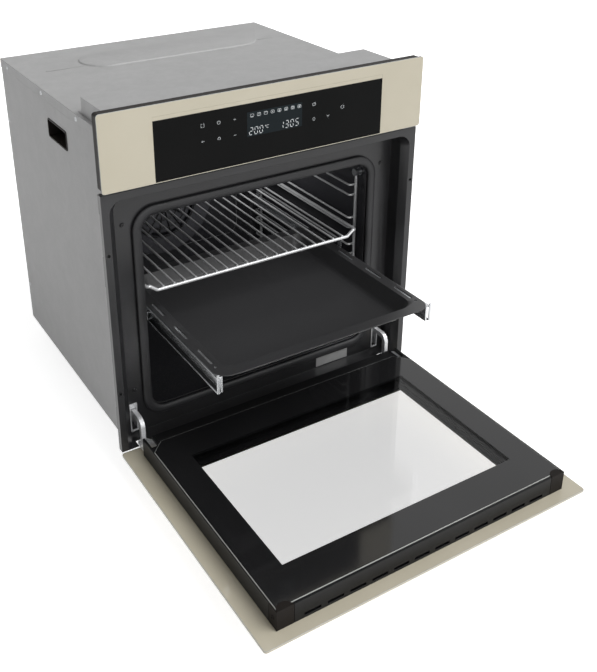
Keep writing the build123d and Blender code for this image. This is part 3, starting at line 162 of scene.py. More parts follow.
def finish(name, sockets):
    """A new material with one Principled surface, and the coordinates of the piece in metres."""
    material = bpy.data.materials.new(name)
    material.use_nodes = True
    tree = material.node_tree
    surface = tree.nodes["Principled BSDF"]
    for socket, value in sockets.items():
        surface.inputs[socket].default_value = value
    place = add(tree, "ShaderNodeTexCoord").outputs["Object"]
    return material, tree, surface, place


def pattern(tree, surface, tones, gloss=None, relief=None):
    """Lays patterns on a surface. tones are a factor, two hex colours and, unless 0.3 and 0.7 will do,
    where their ramp starts and ends. gloss is a factor with its least and most roughness, and relief
    is a height with its depth in millimetres."""
    factor, low, high, start, end = (*tones, 0.3, 0.7)[:5]
    ramp = add(tree, "ShaderNodeValToRGB", {"Fac": factor})
    for stop, spot, shade in zip(ramp.color_ramp.elements, (start, end), (low, high)):
        stop.position = spot
        stop.color = linear(shade)
    tree.links.new(ramp.outputs["Color"], surface.inputs["Base Color"])
    if gloss:
        spread = add(tree, "ShaderNodeMapRange", {"Value": gloss[0], "To Min": gloss[1], "To Max": gloss[2]})
        tree.links.new(spread.outputs["Result"], surface.inputs["Roughness"])
    if relief:
        raised = add(tree, "ShaderNodeBump", {"Height": relief[0], "Distance": relief[1] * MM})
        tree.links.new(raised.outputs["Normal"], surface.inputs["Normal"])


def size(millimetres):
    """The Scale of a pattern whose features are that many millimetres wide."""
    return 1 / (millimetres * MM)


finishes = {}
print("cream glass is", [round(v, 3) for v in linear("#CEC7B4")])

# %% [markdown]
# ## Galvanised steel
# The casing is pressed from hot-dip galvanised sheet. As the zinc sets it forms
# crystals 5 to 15 mm across, the spangle, each with its own faint shade. A Voronoi
# pattern gives such cells, and a fine noise stands for the dull zinc surface. The
# zinc has weathered to a matt grey, so the metallic part is small.

# %% Galvanised steel
finishes["galvanised"], tree, surface, place = finish(
    "hot dip galvanised steel", {"Metallic": 0.12, "Specular IOR Level": 0.2}
)
crystals = add(tree, "ShaderNodeTexVoronoi", {"Vector": place, "Scale": size(9)})
dull = add(tree, "ShaderNodeTexNoise", {"Vector": place, "Scale": size(40), "Detail": 4})
grain = add(tree, "ShaderNodeTexNoise", {"Vector": place, "Scale": size(1.5), "Detail": 2})
cell_grey = add(tree, "ShaderNodeSeparateColor", {"Color": crystals.outputs["Color"]}).outputs["Red"]
blend = add(tree, "ShaderNodeMix", {"Factor": 0.35, "A": dull.outputs["Fac"], "B": cell_grey})
pattern(
    tree, surface, (blend.outputs["Result"], "#A3A3A3", "#ADADAD", 0.25, 0.75),
    (cell_grey, 0.48, 0.60), (grain.outputs["Fac"], 0.02),
)
print("spangle 9 mm")

# %% [markdown]
# ## Enamel
# The cavity and the tray are pressed steel with black vitreous enamel, glass fired
# on at about 830 degrees. It is glossy with a slight orange peel a few millimetres
# across, and fine pale specks that show only close up.

# %% Enamel
for slot, name, base, speck, low, high, peel in (
    ("dark_enamel", "black cavity enamel", "#343437", "#4A4A4E", 0.16, 0.28, 5),
    ("tray_enamel", "tray enamel", "#353536", "#454547", 0.28, 0.40, 4),
    # the fan cover's enamel is the cavity's, painted lighter as painted light so the cover reads as lit
    ("cover_enamel_painted_light", "fan cover enamel painted lighter", "#4C4C50", "#626266", 0.20, 0.32, 5),
    # the guard is near black as painted shade, for the shade in the fan cover's slots
    ("guard_painted_shade", "fan guard black painted shade", "#0C0C0D", "#161617", 0.30, 0.40, 3),
):
    finishes[slot], tree, surface, place = finish(name, {"IOR": 1.52, "Specular IOR Level": 0.4})
    specks = add(tree, "ShaderNodeTexNoise", {"Vector": place, "Scale": size(1.2), "Detail": 3})
    waves = add(tree, "ShaderNodeTexNoise", {"Vector": place, "Scale": size(peel), "Detail": 1})
    clouds = add(tree, "ShaderNodeTexNoise", {"Vector": place, "Scale": size(90), "Detail": 3})
    pattern(
        tree, surface, (specks.outputs["Fac"], base, speck, 0.52, 0.78),
        (clouds.outputs["Fac"], low, high), (waves.outputs["Fac"], 0.012),
    )
    print(name, "orange peel", peel, "mm")

# %% [markdown]
# ## Bright metals
# Chromed wire, polished runners, zinc-plated hinges and brushed aluminium differ in
# colour, in how sharp their reflections are, and in the drawing or brushing lines
# along them. Stretching a noise along one axis gives such lines. Plated parts keep
# some plain grey under the shine, as a thin dull film does on the real ones.

# %% Bright metals
for slot, name, metal, low_tone, high_tone, low, high, stretch in (
    ("chrome_wire", "chromed steel wire", 0.35, "#D0D1D2", "#DEDFE0", 0.18, 0.28, (1, 1, 1)),
    ("runner_steel", "polished stainless runner", 0.8, "#C6C8CA", "#DADCDE", 0.16, 0.28, (1, 0.05, 1)),
    ("hinge_steel", "zinc plated hinge steel", 0.25, "#DCDDDF", "#ECEDEF", 0.22, 0.34, (1, 1, 1)),
    ("screw_steel", "zinc plated screw steel", 0.7, "#A2A4A6", "#C2C4C6", 0.22, 0.38, (1, 1, 1)),
    ("handle_metal", "brushed aluminium handle", 1.0, "#A8A9AA", "#BFC0C1", 0.26, 0.38, (0.02, 1, 1)),
    ("plate_foil", "brushed aluminium foil", 0.3, "#B2B2B2", "#BEBEBE", 0.30, 0.42, (0.03, 1, 1)),
    ("fan_steel", "pressed aluminium fan", 1.0, "#5C5D5F", "#707173", 0.34, 0.48, (1, 1, 1)),
    ("motor_steel", "motor steel", 1.0, "#77797B", "#8E9092", 0.34, 0.48, (1, 1, 1)),
):
    finishes[slot], tree, surface, place = finish(name, {"Metallic": metal})
    along = add(tree, "ShaderNodeMapping", {"Vector": place, "Scale": stretch}).outputs["Vector"]
    lines = add(tree, "ShaderNodeTexNoise", {"Vector": along, "Scale": size(0.8), "Detail": 3})
    film = add(tree, "ShaderNodeTexNoise", {"Vector": place, "Scale": size(25), "Detail": 2})
    pattern(
        tree, surface, (film.outputs["Fac"], low_tone, high_tone),
        (lines.outputs["Fac"], low, high), (lines.outputs["Fac"], 0.006),
    )
print("bright metals done")

# %% [markdown]
# ## Paint, plastic and rubber
# The front frame is powder coated, the panel housing and grips are moulded ABS, and
# the seal is silicone. All are dark, and what tells them apart is their grain: the
# orange peel of powder, the spark-eroded grain of a mould, the dull skin of rubber.

# %% Paint, plastic and rubber
for slot, name, low_tone, high_tone, low, high, grain_mm, depth, shine in (
    ("black_frame", "black powder coat", "#212122", "#29292B", 0.28, 0.38, 1.4, 0.02, 0.45),
    ("door_profile", "black painted aluminium", "#141415", "#1B1B1C", 0.30, 0.42, 2.0, 0.01, 0.15),
    ("black_plastic", "black moulded plastic", "#1D1A18", "#262220", 0.45, 0.60, 0.8, 0.02, 0.08),
    ("seal_rubber", "black silicone seal", "#202021", "#2B2B2D", 0.42, 0.58, 1.0, 0.03, 0.4),
    ("heater_steel", "oxidised heater tube", "#3B3833", "#55504A", 0.45, 0.65, 2.5, 0.02, 0.4),
    ("ceramic", "white steatite ceramic", "#CFCBC2", "#DEDAD2", 0.40, 0.55, 1.2, 0.02, 0.5),
    ("circuit", "green circuit board lacquer", "#1E3D2B", "#2B5239", 0.30, 0.45, 3.0, 0.02, 0.5),
):
    finishes[slot], tree, surface, place = finish(name, {"Specular IOR Level": shine})
    grain = add(tree, "ShaderNodeTexNoise", {"Vector": place, "Scale": size(grain_mm), "Detail": 2})
    wear = add(tree, "ShaderNodeTexNoise", {"Vector": place, "Scale": size(60), "Detail": 4})
    pattern(
        tree, surface, (wear.outputs["Fac"], low_tone, high_tone),
        (wear.outputs["Fac"], low, high), (grain.outputs["Fac"], depth),
    )
print("paint and plastic done")

# %% [markdown]
# ## Mineral wool
# Under the casing the cavity is wrapped in mineral wool. It is a mat of fibres a few
# hundredths of a millimetre thick, drawn here as coarse tufts so that they show.

# %% Mineral wool
finishes["insulation"], tree, surface, place = finish("mineral wool", {"Roughness": 0.95})
tufts = add(tree, "ShaderNodeTexNoise", {"Vector": place, "Scale": size(6), "Detail": 6, "Distortion": 2})
pattern(tree, surface, (tufts.outputs["Fac"], "#A89F76", "#D8CFAA"), relief=(tufts.outputs["Fac"], 1.5))
print("mineral wool tufts 6 mm")

# %% [markdown]
# ## Printed glass
# The control panel and the door front are float glass with enamel colour fired on
# the back. The colour lies under a hard, nearly flat gloss. The display insert and
# the border of the inner pane are printed black. The insert mirrors the bright
# studio only faintly, so its specular level is low. The liquid crystal window in it
# is a little bluer and paler than the black around it. The cut edges of a pane are
# ground and pale, and are painted lighter still as a thin painted highlight line.

# %% Printed glass
for slot, name, low_tone, high_tone, low, high, shine in (
    ("cream_glass", "cream printed glass", "#C6BFAB", "#CBC4B1", 0.05, 0.12, 0.35),
    ("black_glass", "black display glass", "#0E0F0F", "#121212", 0.03, 0.09, 0.05),
    ("lcd_glass", "liquid crystal window", "#1B2124", "#20272A", 0.05, 0.12, 0.05),
    ("black_print", "black printed pane", "#1B1B1C", "#202021", 0.05, 0.12, 0.5),
    # the rounded edge strip of a pane: pale ground glass, painted lighter as a painted highlight
    ("cut_edge_highlight", "ground glass edge painted highlight", "#A4A6A2", "#B4B6B2", 0.25, 0.35, 0.5),
):
    finishes[slot], tree, surface, place = finish(name, {"IOR": 1.52, "Specular IOR Level": shine})
    print_tone = add(tree, "ShaderNodeTexNoise", {"Vector": place, "Scale": size(120), "Detail": 2})
    haze = add(tree, "ShaderNodeTexNoise", {"Vector": place, "Scale": size(30), "Detail": 3})
    pattern(tree, surface, (print_tone.outputs["Fac"], low_tone, high_tone), (haze.outputs["Fac"], low, high))
    print(name, low_tone, high_tone)

# %% [markdown]
# ## Clear glass
# A pane lets nearly all light through and mirrors a little, more at a flat angle. A
# thin sheet hardly bends what is behind it, so the pane mixes a see-through shader
# with a glossy one, and the lamps shine through the door. A Fresnel node would turn
# the far side of each pane into a full mirror at this flat angle, because no light
# is bent here, so the share of gloss comes from how far the face turns away.

# %% Clear glass
for slot, name, tint in (
    ("clear_glass", "clear oven glass", "#FEFEFE"),
    ("lamp_glass", "lamp cover glass", "#E9E9E4"),
):
    finishes[slot], tree, surface, place = finish(name, {})
    smears = add(tree, "ShaderNodeTexNoise", {"Vector": place, "Scale": size(35), "Detail": 3})
    haze = add(tree, "ShaderNodeMapRange", {"Value": smears.outputs["Fac"], "To Min": 0.01, "To Max": 0.05})
    clear = add(tree, "ShaderNodeBsdfTransparent", {"Color": linear(tint)})
    mirror = add(tree, "ShaderNodeBsdfAnisotropic", {
        "Color": linear("#FFFFFF"), "Roughness": haze.outputs["Result"],
    })
    turned = add(tree, "ShaderNodeLayerWeight", {"Blend": 0.5}).outputs["Facing"]
    steep = add(tree, "ShaderNodeMath", {0: turned, 1: 4.0}, operation="POWER").outputs[0]
    share = add(tree, "ShaderNodeMapRange", {"Value": steep, "To Min": 0.01, "To Max": 0.6})
    pane = add(tree, "ShaderNodeMixShader", {
        0: share.outputs["Result"], 1: clear.outputs[0], 2: mirror.outputs[0],
    })
    tree.nodes.remove(surface)
    tree.links.new(pane.outputs[0], tree.nodes["Material Output"].inputs["Surface"])
    print(name, tint)

# %% [markdown]
# ## Dressing the CAD nodes
# Each node came with a plain material named after its slot in the record. The real
# finish takes its place, and the mesh isn't touched.

# %% Give every node its finish
slots = {}
for name, piece in nodes.items():
    slots[name] = piece.data.materials[0].name.split(".")[0]
    piece.material_slots[0].link = "OBJECT"
    piece.material_slots[0].material = finishes[slots[name]]
print("finishes given to", len(nodes), "nodes")

# %% [markdown]
# ## Rounded edges
# No pressed, cut or moulded edge is sharp. A radius of half a millimetre catches a
# thin bright line, and that line is how the eye reads a black part on black. A CAD
# node is loose triangles, so a copy is joined and its flat faces are merged. Then
# its edges can be rounded, and the copy stands for the node. Where a part has faces
# narrower than two radii, a smaller radius keeps them from turning inside out.

# %% Copies with rounded edges
WELD_DISTANCE, CUT_DISTANCE = 0.005 * MM, 0.001 * MM
FLAT_ANGLE, SHARP_ANGLE = math.radians(0.5), math.radians(40)


def joined_copy(node):
    """A copy of a CAD node's mesh with its loose triangles joined."""
    cells = bmesh.new()
    cells.from_mesh(nodes[node].data)
    bmesh.ops.remove_doubles(cells, verts=cells.verts, dist=WELD_DISTANCE)
    bmesh.ops.dissolve_limit(cells, angle_limit=FLAT_ANGLE, verts=cells.verts, edges=cells.edges)
    return cells


def shaded(name, mesh, smooth_angle):
    """An object with smooth curves, and with creases where faces meet at more than the angle in degrees."""
    mesh.polygons.foreach_set("use_smooth", [True] * len(mesh.polygons))
    mesh.set_sharp_from_angle(angle=math.radians(smooth_angle))
    return in_scene(name, mesh)


def new_piece(name, cells, materials):
    """Turns a bmesh into an object."""
    mesh = bpy.data.meshes.new(name)
    cells.to_mesh(mesh)
    cells.free()
    for material in materials:
        mesh.materials.append(material)
    return shaded(name, mesh, 35)


def bevelled(piece, width, edge_material=-1):
    """Rounds the piece's edges by width millimetres. edge_material is the number of the rounded
    strip's own finish, or -1 for that of the faces beside it."""
    rounding = piece.modifiers.new("edge rounding", "BEVEL")
    rounding.width = width * MM
    rounding.segments = 2
    rounding.limit_method = "WEIGHT" if "bevel_weight_edge" in piece.data.attributes else "ANGLE"
    rounding.angle_limit = SHARP_ANGLE
    rounding.use_clamp_overlap = False
    rounding.loop_slide = False
    rounding.material = edge_material
    rounding.harden_normals = True
    return piece


def stands_for(piece, node):
    """The piece stands in the CAD node's place and rides on its body, and the node is hidden."""
    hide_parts(node)
    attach(piece, nodes[node]["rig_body"])


EDGE_RADII = {
    "front_frame": 0.4, "panel_housing": 0.6, "duct_housing": 0.3, "top_panel": 0.7,
    "side_panel_left": 0.3, "side_panel_right": 0.3, "back_panel": 0.3, "base_panel": 0.3,
    "door_side_left": 0.6, "door_side_right": 0.6, "door_bottom_profile": 0.6, "door_top_profile": 0.6,
    "door_caps": 0.6, "fixed_rails": 0.4, "hinge_arm_left": 0.8, "hinge_arm_right": 0.8,
    "hinge_body_left": 0.4, "hinge_body_right": 0.4, "hinge_receivers": 0.1, "handle_posts": 0.6,
    "hand_grips": 0.1, "fan_cover": 0.35, "rating_plate": 0.12,
}
for node, radius in EDGE_RADII.items():
    # the fan cover takes the enamel that is painted lighter as painted light
    coat = "cover_enamel_painted_light" if node == "fan_cover" else slots[node]
    piece = new_piece(node + "_rounded", joined_copy(node), [finishes[coat]])
    stands_for(bevelled(piece, radius), node)
print("edges rounded on", len(EDGE_RADII), "nodes")

# %% [markdown]
# ## Cavity and tray
# The cavity is drawn and welded, so its rear wall meets the sides in a wide curve
# that shows as a long highlight. The tray is deep drawn, and its floor rises into
# the walls in a curve of about 6 mm. Only these edges are chosen, by where they lie.

# %% Cavity and tray
CAVITY_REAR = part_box("cavity_shell")[1].y / MM - 1
REAR_RIM_HALF, REAR_RIM_LOW, REAR_RIM_HIGH = 206, 60, 404
PAN_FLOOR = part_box("baking_tray")[0].z / MM + 2


def middle_of(edge):
    """The middle of an edge, in millimetres."""
    return (edge.verts[0].co + edge.verts[1].co) / 2 / MM


def round_off(cells, chosen, radius, steps):
    """Rounds some edges of a bmesh much more than the rest, radius in millimetres."""
    edges = [edge for edge in cells.edges if len(edge.link_faces) == 2 and chosen(edge)]
    bmesh.ops.bevel(
        cells, geom=edges, offset=radius * MM, segments=steps, profile=0.5,
        affect="EDGES", clamp_overlap=False,
    )
    print("rounded", len(edges), "edges by", radius, "mm")


def on_rear_rim(edge):
    """True where the cavity's rear wall meets its sides, floor and roof, on the inside."""
    middle = middle_of(edge)
    flat = all(abs(vert.co.y / MM - CAVITY_REAR) < 0.01 for vert in edge.verts)
    return flat and (abs(middle.x) > REAR_RIM_HALF or not REAR_RIM_LOW < middle.z < REAR_RIM_HIGH)


def in_pan_floor(edge):
    """True for the ring where the pan's floor meets its walls, inside and outside."""
    tilts = sorted(abs(face.normal.z) for face in edge.link_faces)
    return middle_of(edge).z < PAN_FLOOR and tilts[1] > 0.99 and tilts[0] < 0.97


cells = joined_copy("cavity_shell")
round_off(cells, on_rear_rim, radius=14, steps=5)
stands_for(bevelled(new_piece("cavity_enamelled", cells, [finishes["dark_enamel"]]), 0.4), "cavity_shell")

cells = joined_copy("baking_tray")
round_off(cells, in_pan_floor, radius=6, steps=4)
stands_for(bevelled(new_piece("tray_drawn", cells, [finishes["tray_enamel"]]), 0.45), "baking_tray")

# %% [markdown]
# ## Printed panes
# A real pane is one sheet, and its colours are printed in fields. The copy of each
# CAD pane is cut along the borders of those fields, and then every face gets the
# finish of the field that its middle lies in. So the holes, corners and edges stay.
# The black display field runs down to the lower edge of the panel. The door's front
# pane is cream in front and black behind, with a clear window.

# %% Panes of the panel and the door
FACING = 0.9  # how much of its normal a face has to turn one way to count as facing it


def sliced(cells, spot, normal, **settings):
    """Cuts a bmesh along the plane through a spot in millimetres."""
    everything = cells.verts[:] + cells.edges[:] + cells.faces[:]
    return bmesh.ops.bisect_plane(
        cells, geom=everything, plane_co=Vector(spot) * MM, plane_no=normal, dist=CUT_DISTANCE, **settings
    )


def printed(name, node, kinds, cuts, field, edge, is_rim=lambda at: True):
    """Cuts a copy of a pane and prints it. field gives the number of the finish from a face's middle and
    normal. The edges for which is_rim is true are rounded by edge millimetres and get the last finish."""
    cells = joined_copy(node)
    for spot, normal in cuts:
        sliced(cells, spot, normal)
    for face in cells.faces:
        face.material_index = field(face.calc_center_bounds() / MM, face.normal)
    weight = cells.edges.layers.float.new("bevel_weight_edge")
    for rim in cells.edges:
        sharp = len(rim.link_faces) == 2 and rim.calc_face_angle(0) > SHARP_ANGLE
        rim[weight] = float(sharp and is_rim(middle_of(rim)))
    pane = new_piece(name, cells, [finishes[kind] for kind in kinds])
    stands_for(bevelled(pane, edge, len(kinds) - 1), node)
    print(name, "faces", len(pane.data.polygons))


def frame_cuts(half, near, far):
    """The four planes round a field from -half to half across the door, and from near to far along it."""
    across = [((x, 0, 0), (1, 0, 0)) for x in (half, -half)]
    return across + [((0, y, 0), (0, 1, 0)) for y in (near, far)]


def within(middle, half, near, far):
    """True inside the same field."""
    return abs(middle.x) < half and far < middle.y < near


FRONT_WINDOW, BACK_WINDOW, BLACK_BACK = (222, -104, -392), (216, -110, -386), (255, -50, -440)
PRINT_HALF, PRINT_LOW, PRINT_HIGH, INSERT_LOW = 210.8, 478, 575, 481.6
PANEL_END, PANEL_TOP = 290, 595

printed(
    "panel_pane", "panel_glass", ("cream_glass", "black_glass", "cut_edge_highlight"),
    [((PRINT_HALF, 0, 0), (1, 0, 0)), ((-PRINT_HALF, 0, 0), (1, 0, 0)), ((0, 0, PRINT_LOW), (0, 0, 1))],
    lambda at, way: int(way.y > -FACING or abs(at.x) < PRINT_HALF and PRINT_LOW < at.z < INSERT_LOW),
    edge=0.6, is_rim=lambda at: abs(at.x) > PANEL_END or at.z > PANEL_TOP or at.z < PRINT_LOW,
)
printed(
    "display_pane", "display_insert", ("black_glass", "cream_glass", "black_glass"),
    [((0, 0, PRINT_HIGH), (0, 0, 1))], lambda at, way: int(at.z > PRINT_HIGH),
    edge=0.1, is_rim=lambda at: False,
)
printed(
    "door_pane_front", "door_glass_outer",
    ("cream_glass", "black_print", "clear_glass", "cut_edge_highlight"),
    frame_cuts(*FRONT_WINDOW) + frame_cuts(*BLACK_BACK),
    lambda at, way: 2 if within(at, *FRONT_WINDOW) else int(way.z > FACING and within(at, *BLACK_BACK)),
    edge=0.6,
)
printed(
    "door_pane_back", "door_glass_inner", ("black_print", "clear_glass", "cut_edge_highlight"),
    frame_cuts(*BACK_WINDOW), lambda at, way: int(within(at, *BACK_WINDOW)), edge=1.2,
)

# %% [markdown]
# ## Moving runners
# A telescopic runner is a channel of polished steel. Its groove is painted near
# black as painted shade, the shade that lies in it under the tray's rim, and only
# its lower lip and the tab at its front end shine. A triangular plate stiffens the
# groove behind the tab. A flange under the tray's rim shows bright through the
# slots of the rim.

# %% Moving runners
# painted shade: a near-black finish for the groove, standing for the shade in it
finishes["raceway"], tree, surface, place = finish(
    "runner groove painted shade", {"Metallic": 0.2, "Specular IOR Level": 0.2}
)
groove_shade_noise = add(tree, "ShaderNodeTexNoise", {"Vector": place, "Scale": size(4), "Detail": 3}).outputs["Fac"]
pattern(tree, surface, (groove_shade_noise, "#1A1A1B", "#29292A"), (groove_shade_noise, 0.45, 0.65))

rail_low, rail_high = (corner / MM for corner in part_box("moving_rails"))
RAIL_TOP, RAIL_WEB, RAIL_WALL, LIP = rail_low.z + 27.5, rail_high.x - 10, 1.5, 1.6
TAB_THICKNESS, TAB_WIDTH, PLATE_LENGTH, PLATE_THICKNESS = 2, 4, 45, 2.4
FLANGE_WIDTH, FLANGE_THICKNESS, FLANGE_START, FLANGE_LENGTH = 12, 1, 6, 340

cells = joined_copy("moving_rails")
section = sliced(cells, (0, rail_low.y + TAB_THICKNESS + 0.05, 0), (0, 1, 0), clear_inner=True)
cut_edges = [cut for cut in section["geom_cut"] if isinstance(cut, bmesh.types.BMEdge)]
bmesh.ops.holes_fill(cells, edges=cut_edges)
for s in (-1, 1):
    sliced(cells, (s * (rail_high.x - LIP), 0, 0), (1, 0, 0))
for face in cells.faces:
    middle, way = face.calc_center_bounds() / MM, face.normal
    on_web = abs(middle.x) < RAIL_WEB + RAIL_WALL and way.x * middle.x > FACING * abs(middle.x)
    in_groove = RAIL_WEB + 0.5 < abs(middle.x) < rail_high.x - LIP and abs(way.z) > FACING
    in_groove = in_groove and rail_low.z + 0.5 < middle.z < RAIL_TOP - 0.5
    # the web and groove faces get the near-black painted shade
    face.material_index = int(on_web or in_groove)


def add_block(cells, one, other):
    """A box between two opposite corners in millimetres."""
    low, high = (Vector(map(pick, one, other)) * MM for pick in (min, max))
    bmesh.ops.create_cube(cells, matrix=Matrix.LocRotScale((low + high) / 2, None, high - low))


def add_wedge(cells, near, far, y, low, high, length):
    """A triangular plate from near to far across, upright along y and tapering rearwards along its top."""
    corners = [
        cells.verts.new(Vector((x, *spot)) * MM)
        for x in (near, far) for spot in ((y, low), (y, high), (y + length, high))
    ]
    rings = ((0, 1, 2), (5, 4, 3), (0, 3, 4, 1), (1, 4, 5, 2), (2, 5, 3, 0))
    faces = [cells.faces.new([corners[i] for i in ring]) for ring in rings]
    bmesh.ops.recalc_face_normals(cells, faces=faces)


flange_y, flange_top, plate_x = rail_low.y + FLANGE_START, RAIL_TOP - 0.1, RAIL_WEB + 1
for s in (-1, 1):
    add_block(
        cells, (s * (RAIL_WEB - FLANGE_WIDTH), flange_y, flange_top - FLANGE_THICKNESS),
        (s * (RAIL_WEB + 0.2), flange_y + FLANGE_LENGTH, flange_top),
    )
    add_block(
        cells, (s * (rail_high.x - TAB_WIDTH), rail_low.y, rail_low.z),
        (s * rail_high.x, rail_low.y + TAB_THICKNESS, rail_high.z),
    )
    add_wedge(
        cells, s * plate_x, s * (plate_x + PLATE_THICKNESS), rail_low.y + TAB_THICKNESS,
        rail_low.z, RAIL_TOP, PLATE_LENGTH - TAB_THICKNESS,
    )
rails = new_piece("moving_runners", cells, [finishes["runner_steel"], finishes["raceway"]])
stands_for(bevelled(rails, 0.3), "moving_rails")
print("runner groove faces", sum(face.material_index for face in rails.data.polygons))

# %% [markdown]
# ## A small kit for Geometry Nodes
# What repeats or follows a path is grown by Geometry Nodes. A tree starts as a group
# with one geometry in, one out, and a named input for each size. Once its modifier
# has run, the result is read back as a plain mesh.

# %% Geometry Nodes kit
def node_group(name, sizes):
    """A new tree, its inputs and its output. sizes maps an input's name to its default, which is in
    metres or a count."""
    group = bpy.data.node_groups.new(name, "GeometryNodeTree")
    group.interface.new_socket("Geometry", in_out="INPUT", socket_type="NodeSocketGeometry")
    group.interface.new_socket("Geometry", in_out="OUTPUT", socket_type="NodeSocketGeometry")
    for label, value in sizes.items():
        kind = "NodeSocketInt" if isinstance(value, int) else "NodeSocketFloat"
        group.interface.new_socket(label, in_out="INPUT", socket_type=kind).default_value = value
    return group, add(group, "NodeGroupInput").outputs, add(group, "NodeGroupOutput").inputs["Geometry"]


def tube(group, path, radius, bend, sides=10):
    """Turns the edges of a mesh into a round bar that bends with a radius at each corner."""
    curve = add(group, "GeometryNodeMeshToCurve", {"Mesh": path}).outputs["Curve"]
    bent = add(group, "GeometryNodeFilletCurve", {"Curve": curve, "Count": 5, "Radius": bend}, mode="POLY")
    ring = add(group, "GeometryNodeCurvePrimitiveCircle", {"Resolution": sides, "Radius": radius})
    return add(group, "GeometryNodeCurveToMesh", {
        "Curve": bent.outputs["Curve"], "Profile Curve": ring.outputs["Curve"], "Fill Caps": True,
    }).outputs["Mesh"]


def together(group, *parts):
    """Joins several geometries."""
    join = add(group, "GeometryNodeJoinGeometry")
    for part in parts:
        group.links.new(part, join.inputs["Geometry"])
    return join.outputs["Geometry"]


def ended(group, out, geometry, material):
    """Ends a tree in Realize Instances and Set Material."""
    real = add(group, "GeometryNodeRealizeInstances", {"Geometry": geometry}).outputs["Geometry"]
    coated = add(group, "GeometryNodeSetMaterial", {"Geometry": real, "Material": material})
    group.links.new(coated.outputs["Geometry"], out)


def path_mesh(name, paths, marks=None, closed=False):
    """A mesh of edges only. paths are lists of points in millimetres, marks stores values for the points
    under a name, and closed joins each path's last point to its first."""
    mesh = bpy.data.meshes.new(name)
    points, edges = [], []
    for path in paths:
        first = len(points)
        points += [[v * MM for v in point] for point in path]
        edges += [(i, i + 1) for i in range(first, len(points) - 1)]
        if closed:
            edges.append((len(points) - 1, first))
    mesh.from_pydata(points, edges, [])
    for label, values in (marks or {}).items():
        mesh.attributes.new(label, "FLOAT", "POINT").data.foreach_set("value", values)
    return mesh


def grown(name, start_mesh, group, sizes=None, smooth_angle=40):
    """Runs the tree on the start mesh and returns a plain mesh object."""
    seed = in_scene(name + " start", start_mesh)
    modifier = seed.modifiers.new(name, "NODES")
    modifier.node_group = group
    for item in group.interface.items_tree:
        if item.in_out == "INPUT" and item.name in (sizes or {}):
            modifier[item.identifier] = sizes[item.name]
    mesh = bpy.data.meshes.new_from_object(seed.evaluated_get(bpy.context.evaluated_depsgraph_get()))
    mesh.name = name
    bpy.data.objects.remove(seed)
    piece = shaded(name, mesh, smooth_angle)
    ends = [[round(f(v.co[i] / MM for v in mesh.vertices), 1) for i in range(3)] for f in (min, max)]
    print(name, "faces", len(mesh.polygons), "from", ends[0], "to", ends[1])
    return piece


# %% [markdown]
# ## Side racks
# A rack is bent from chromed wire: five pairs of 4 mm wires, each ending in a short
# arm that is welded to a 6 mm post at the front and at the rear. The centre lines
# are the input, and a mark on each point tells the post from the wires.

# %% Side racks
LEVELS, PAIR_HALF = (107.0, 164.0, 221.0, 276.25, 342.5), 10
POST_X, WIRE_X, FOOT_X = 226, 212, 235
RACK_FRONT, RACK_REAR, RACK_LOW, RACK_TOP = 62, 405, 80, 368.7

group, sizes, out = node_group("Bent wire rack", {
    "Wire Radius": 2 * MM, "Post Radius": 3 * MM, "Bend": 5 * MM,
})
is_post = add(group, "GeometryNodeInputNamedAttribute", {"Name": "post"}, data_type="FLOAT")
sorted_wires = add(group, "GeometryNodeSeparateGeometry", {
    "Geometry": sizes["Geometry"], "Selection": is_post.outputs["Attribute"],
})
posts = tube(group, sorted_wires.outputs["Selection"], sizes["Post Radius"], sizes["Bend"], 14)
wires = tube(group, sorted_wires.outputs["Inverted"], sizes["Wire Radius"], sizes["Bend"])
ended(group, out, together(group, posts, wires), finishes["chrome_wire"])

for side, s in (("left", -1), ("right", 1)):
    paths = [
        [(s * POST_X, y, RACK_TOP), (s * POST_X, y, RACK_LOW), (s * FOOT_X, y, RACK_LOW)]
        for y in (RACK_FRONT, RACK_REAR)
    ]
    marks = [1.0] * 6
    for z in (level + step for level in LEVELS for step in (-PAIR_HALF, PAIR_HALF)):
        paths.append([
            (s * POST_X, RACK_FRONT, z), (s * WIRE_X, RACK_FRONT, z),
            (s * WIRE_X, RACK_REAR, z), (s * POST_X, RACK_REAR, z),
        ])
        marks += [0.0] * 4
    rack = grown(f"rack_wires_{side}", path_mesh("rack lines", paths, {"post": marks}), group)
    stands_for(rack, f"side_rack_{side}")

# %% [markdown]
# ## Wire shelf
# The shelf is a frame of 6 mm wire, bent down at both sides so that it lies lower
# than the rack wires that carry it, with nineteen 4 mm rods welded on top. The rods
# are all alike, so one rod is instanced along a line with a set pitch.

# %% Wire shelf
group, sizes, out = node_group("Wire shelf", {
    "Frame Radius": 3 * MM, "Rod Radius": 2 * MM, "Bend": 6 * MM, "Rod Length": 360 * MM,
    "Rod Pitch": 20.2 * MM, "Rod Count": 19, "First Rod X": -181.8 * MM, "Rod Y": 39 * MM,
    "Rod Z": 265.55 * MM,
})
border = tube(group, sizes["Geometry"], sizes["Frame Radius"], sizes["Bend"], 14)
line_start = add(group, "ShaderNodeCombineXYZ", {
    "X": sizes["First Rod X"], "Y": sizes["Rod Y"], "Z": sizes["Rod Z"],
})
line_step = add(group, "ShaderNodeCombineXYZ", {"X": sizes["Rod Pitch"]})
places = add(group, "GeometryNodeMeshLine", {
    "Count": sizes["Rod Count"], "Start Location": line_start.outputs[0], "Offset": line_step.outputs[0],
}).outputs["Mesh"]
rod_end = add(group, "ShaderNodeCombineXYZ", {"Y": sizes["Rod Length"]})
rod_line = add(group, "GeometryNodeCurvePrimitiveLine", {"End": rod_end.outputs[0]}).outputs["Curve"]
rod_ring = add(group, "GeometryNodeCurvePrimitiveCircle", {"Resolution": 10, "Radius": sizes["Rod Radius"]})
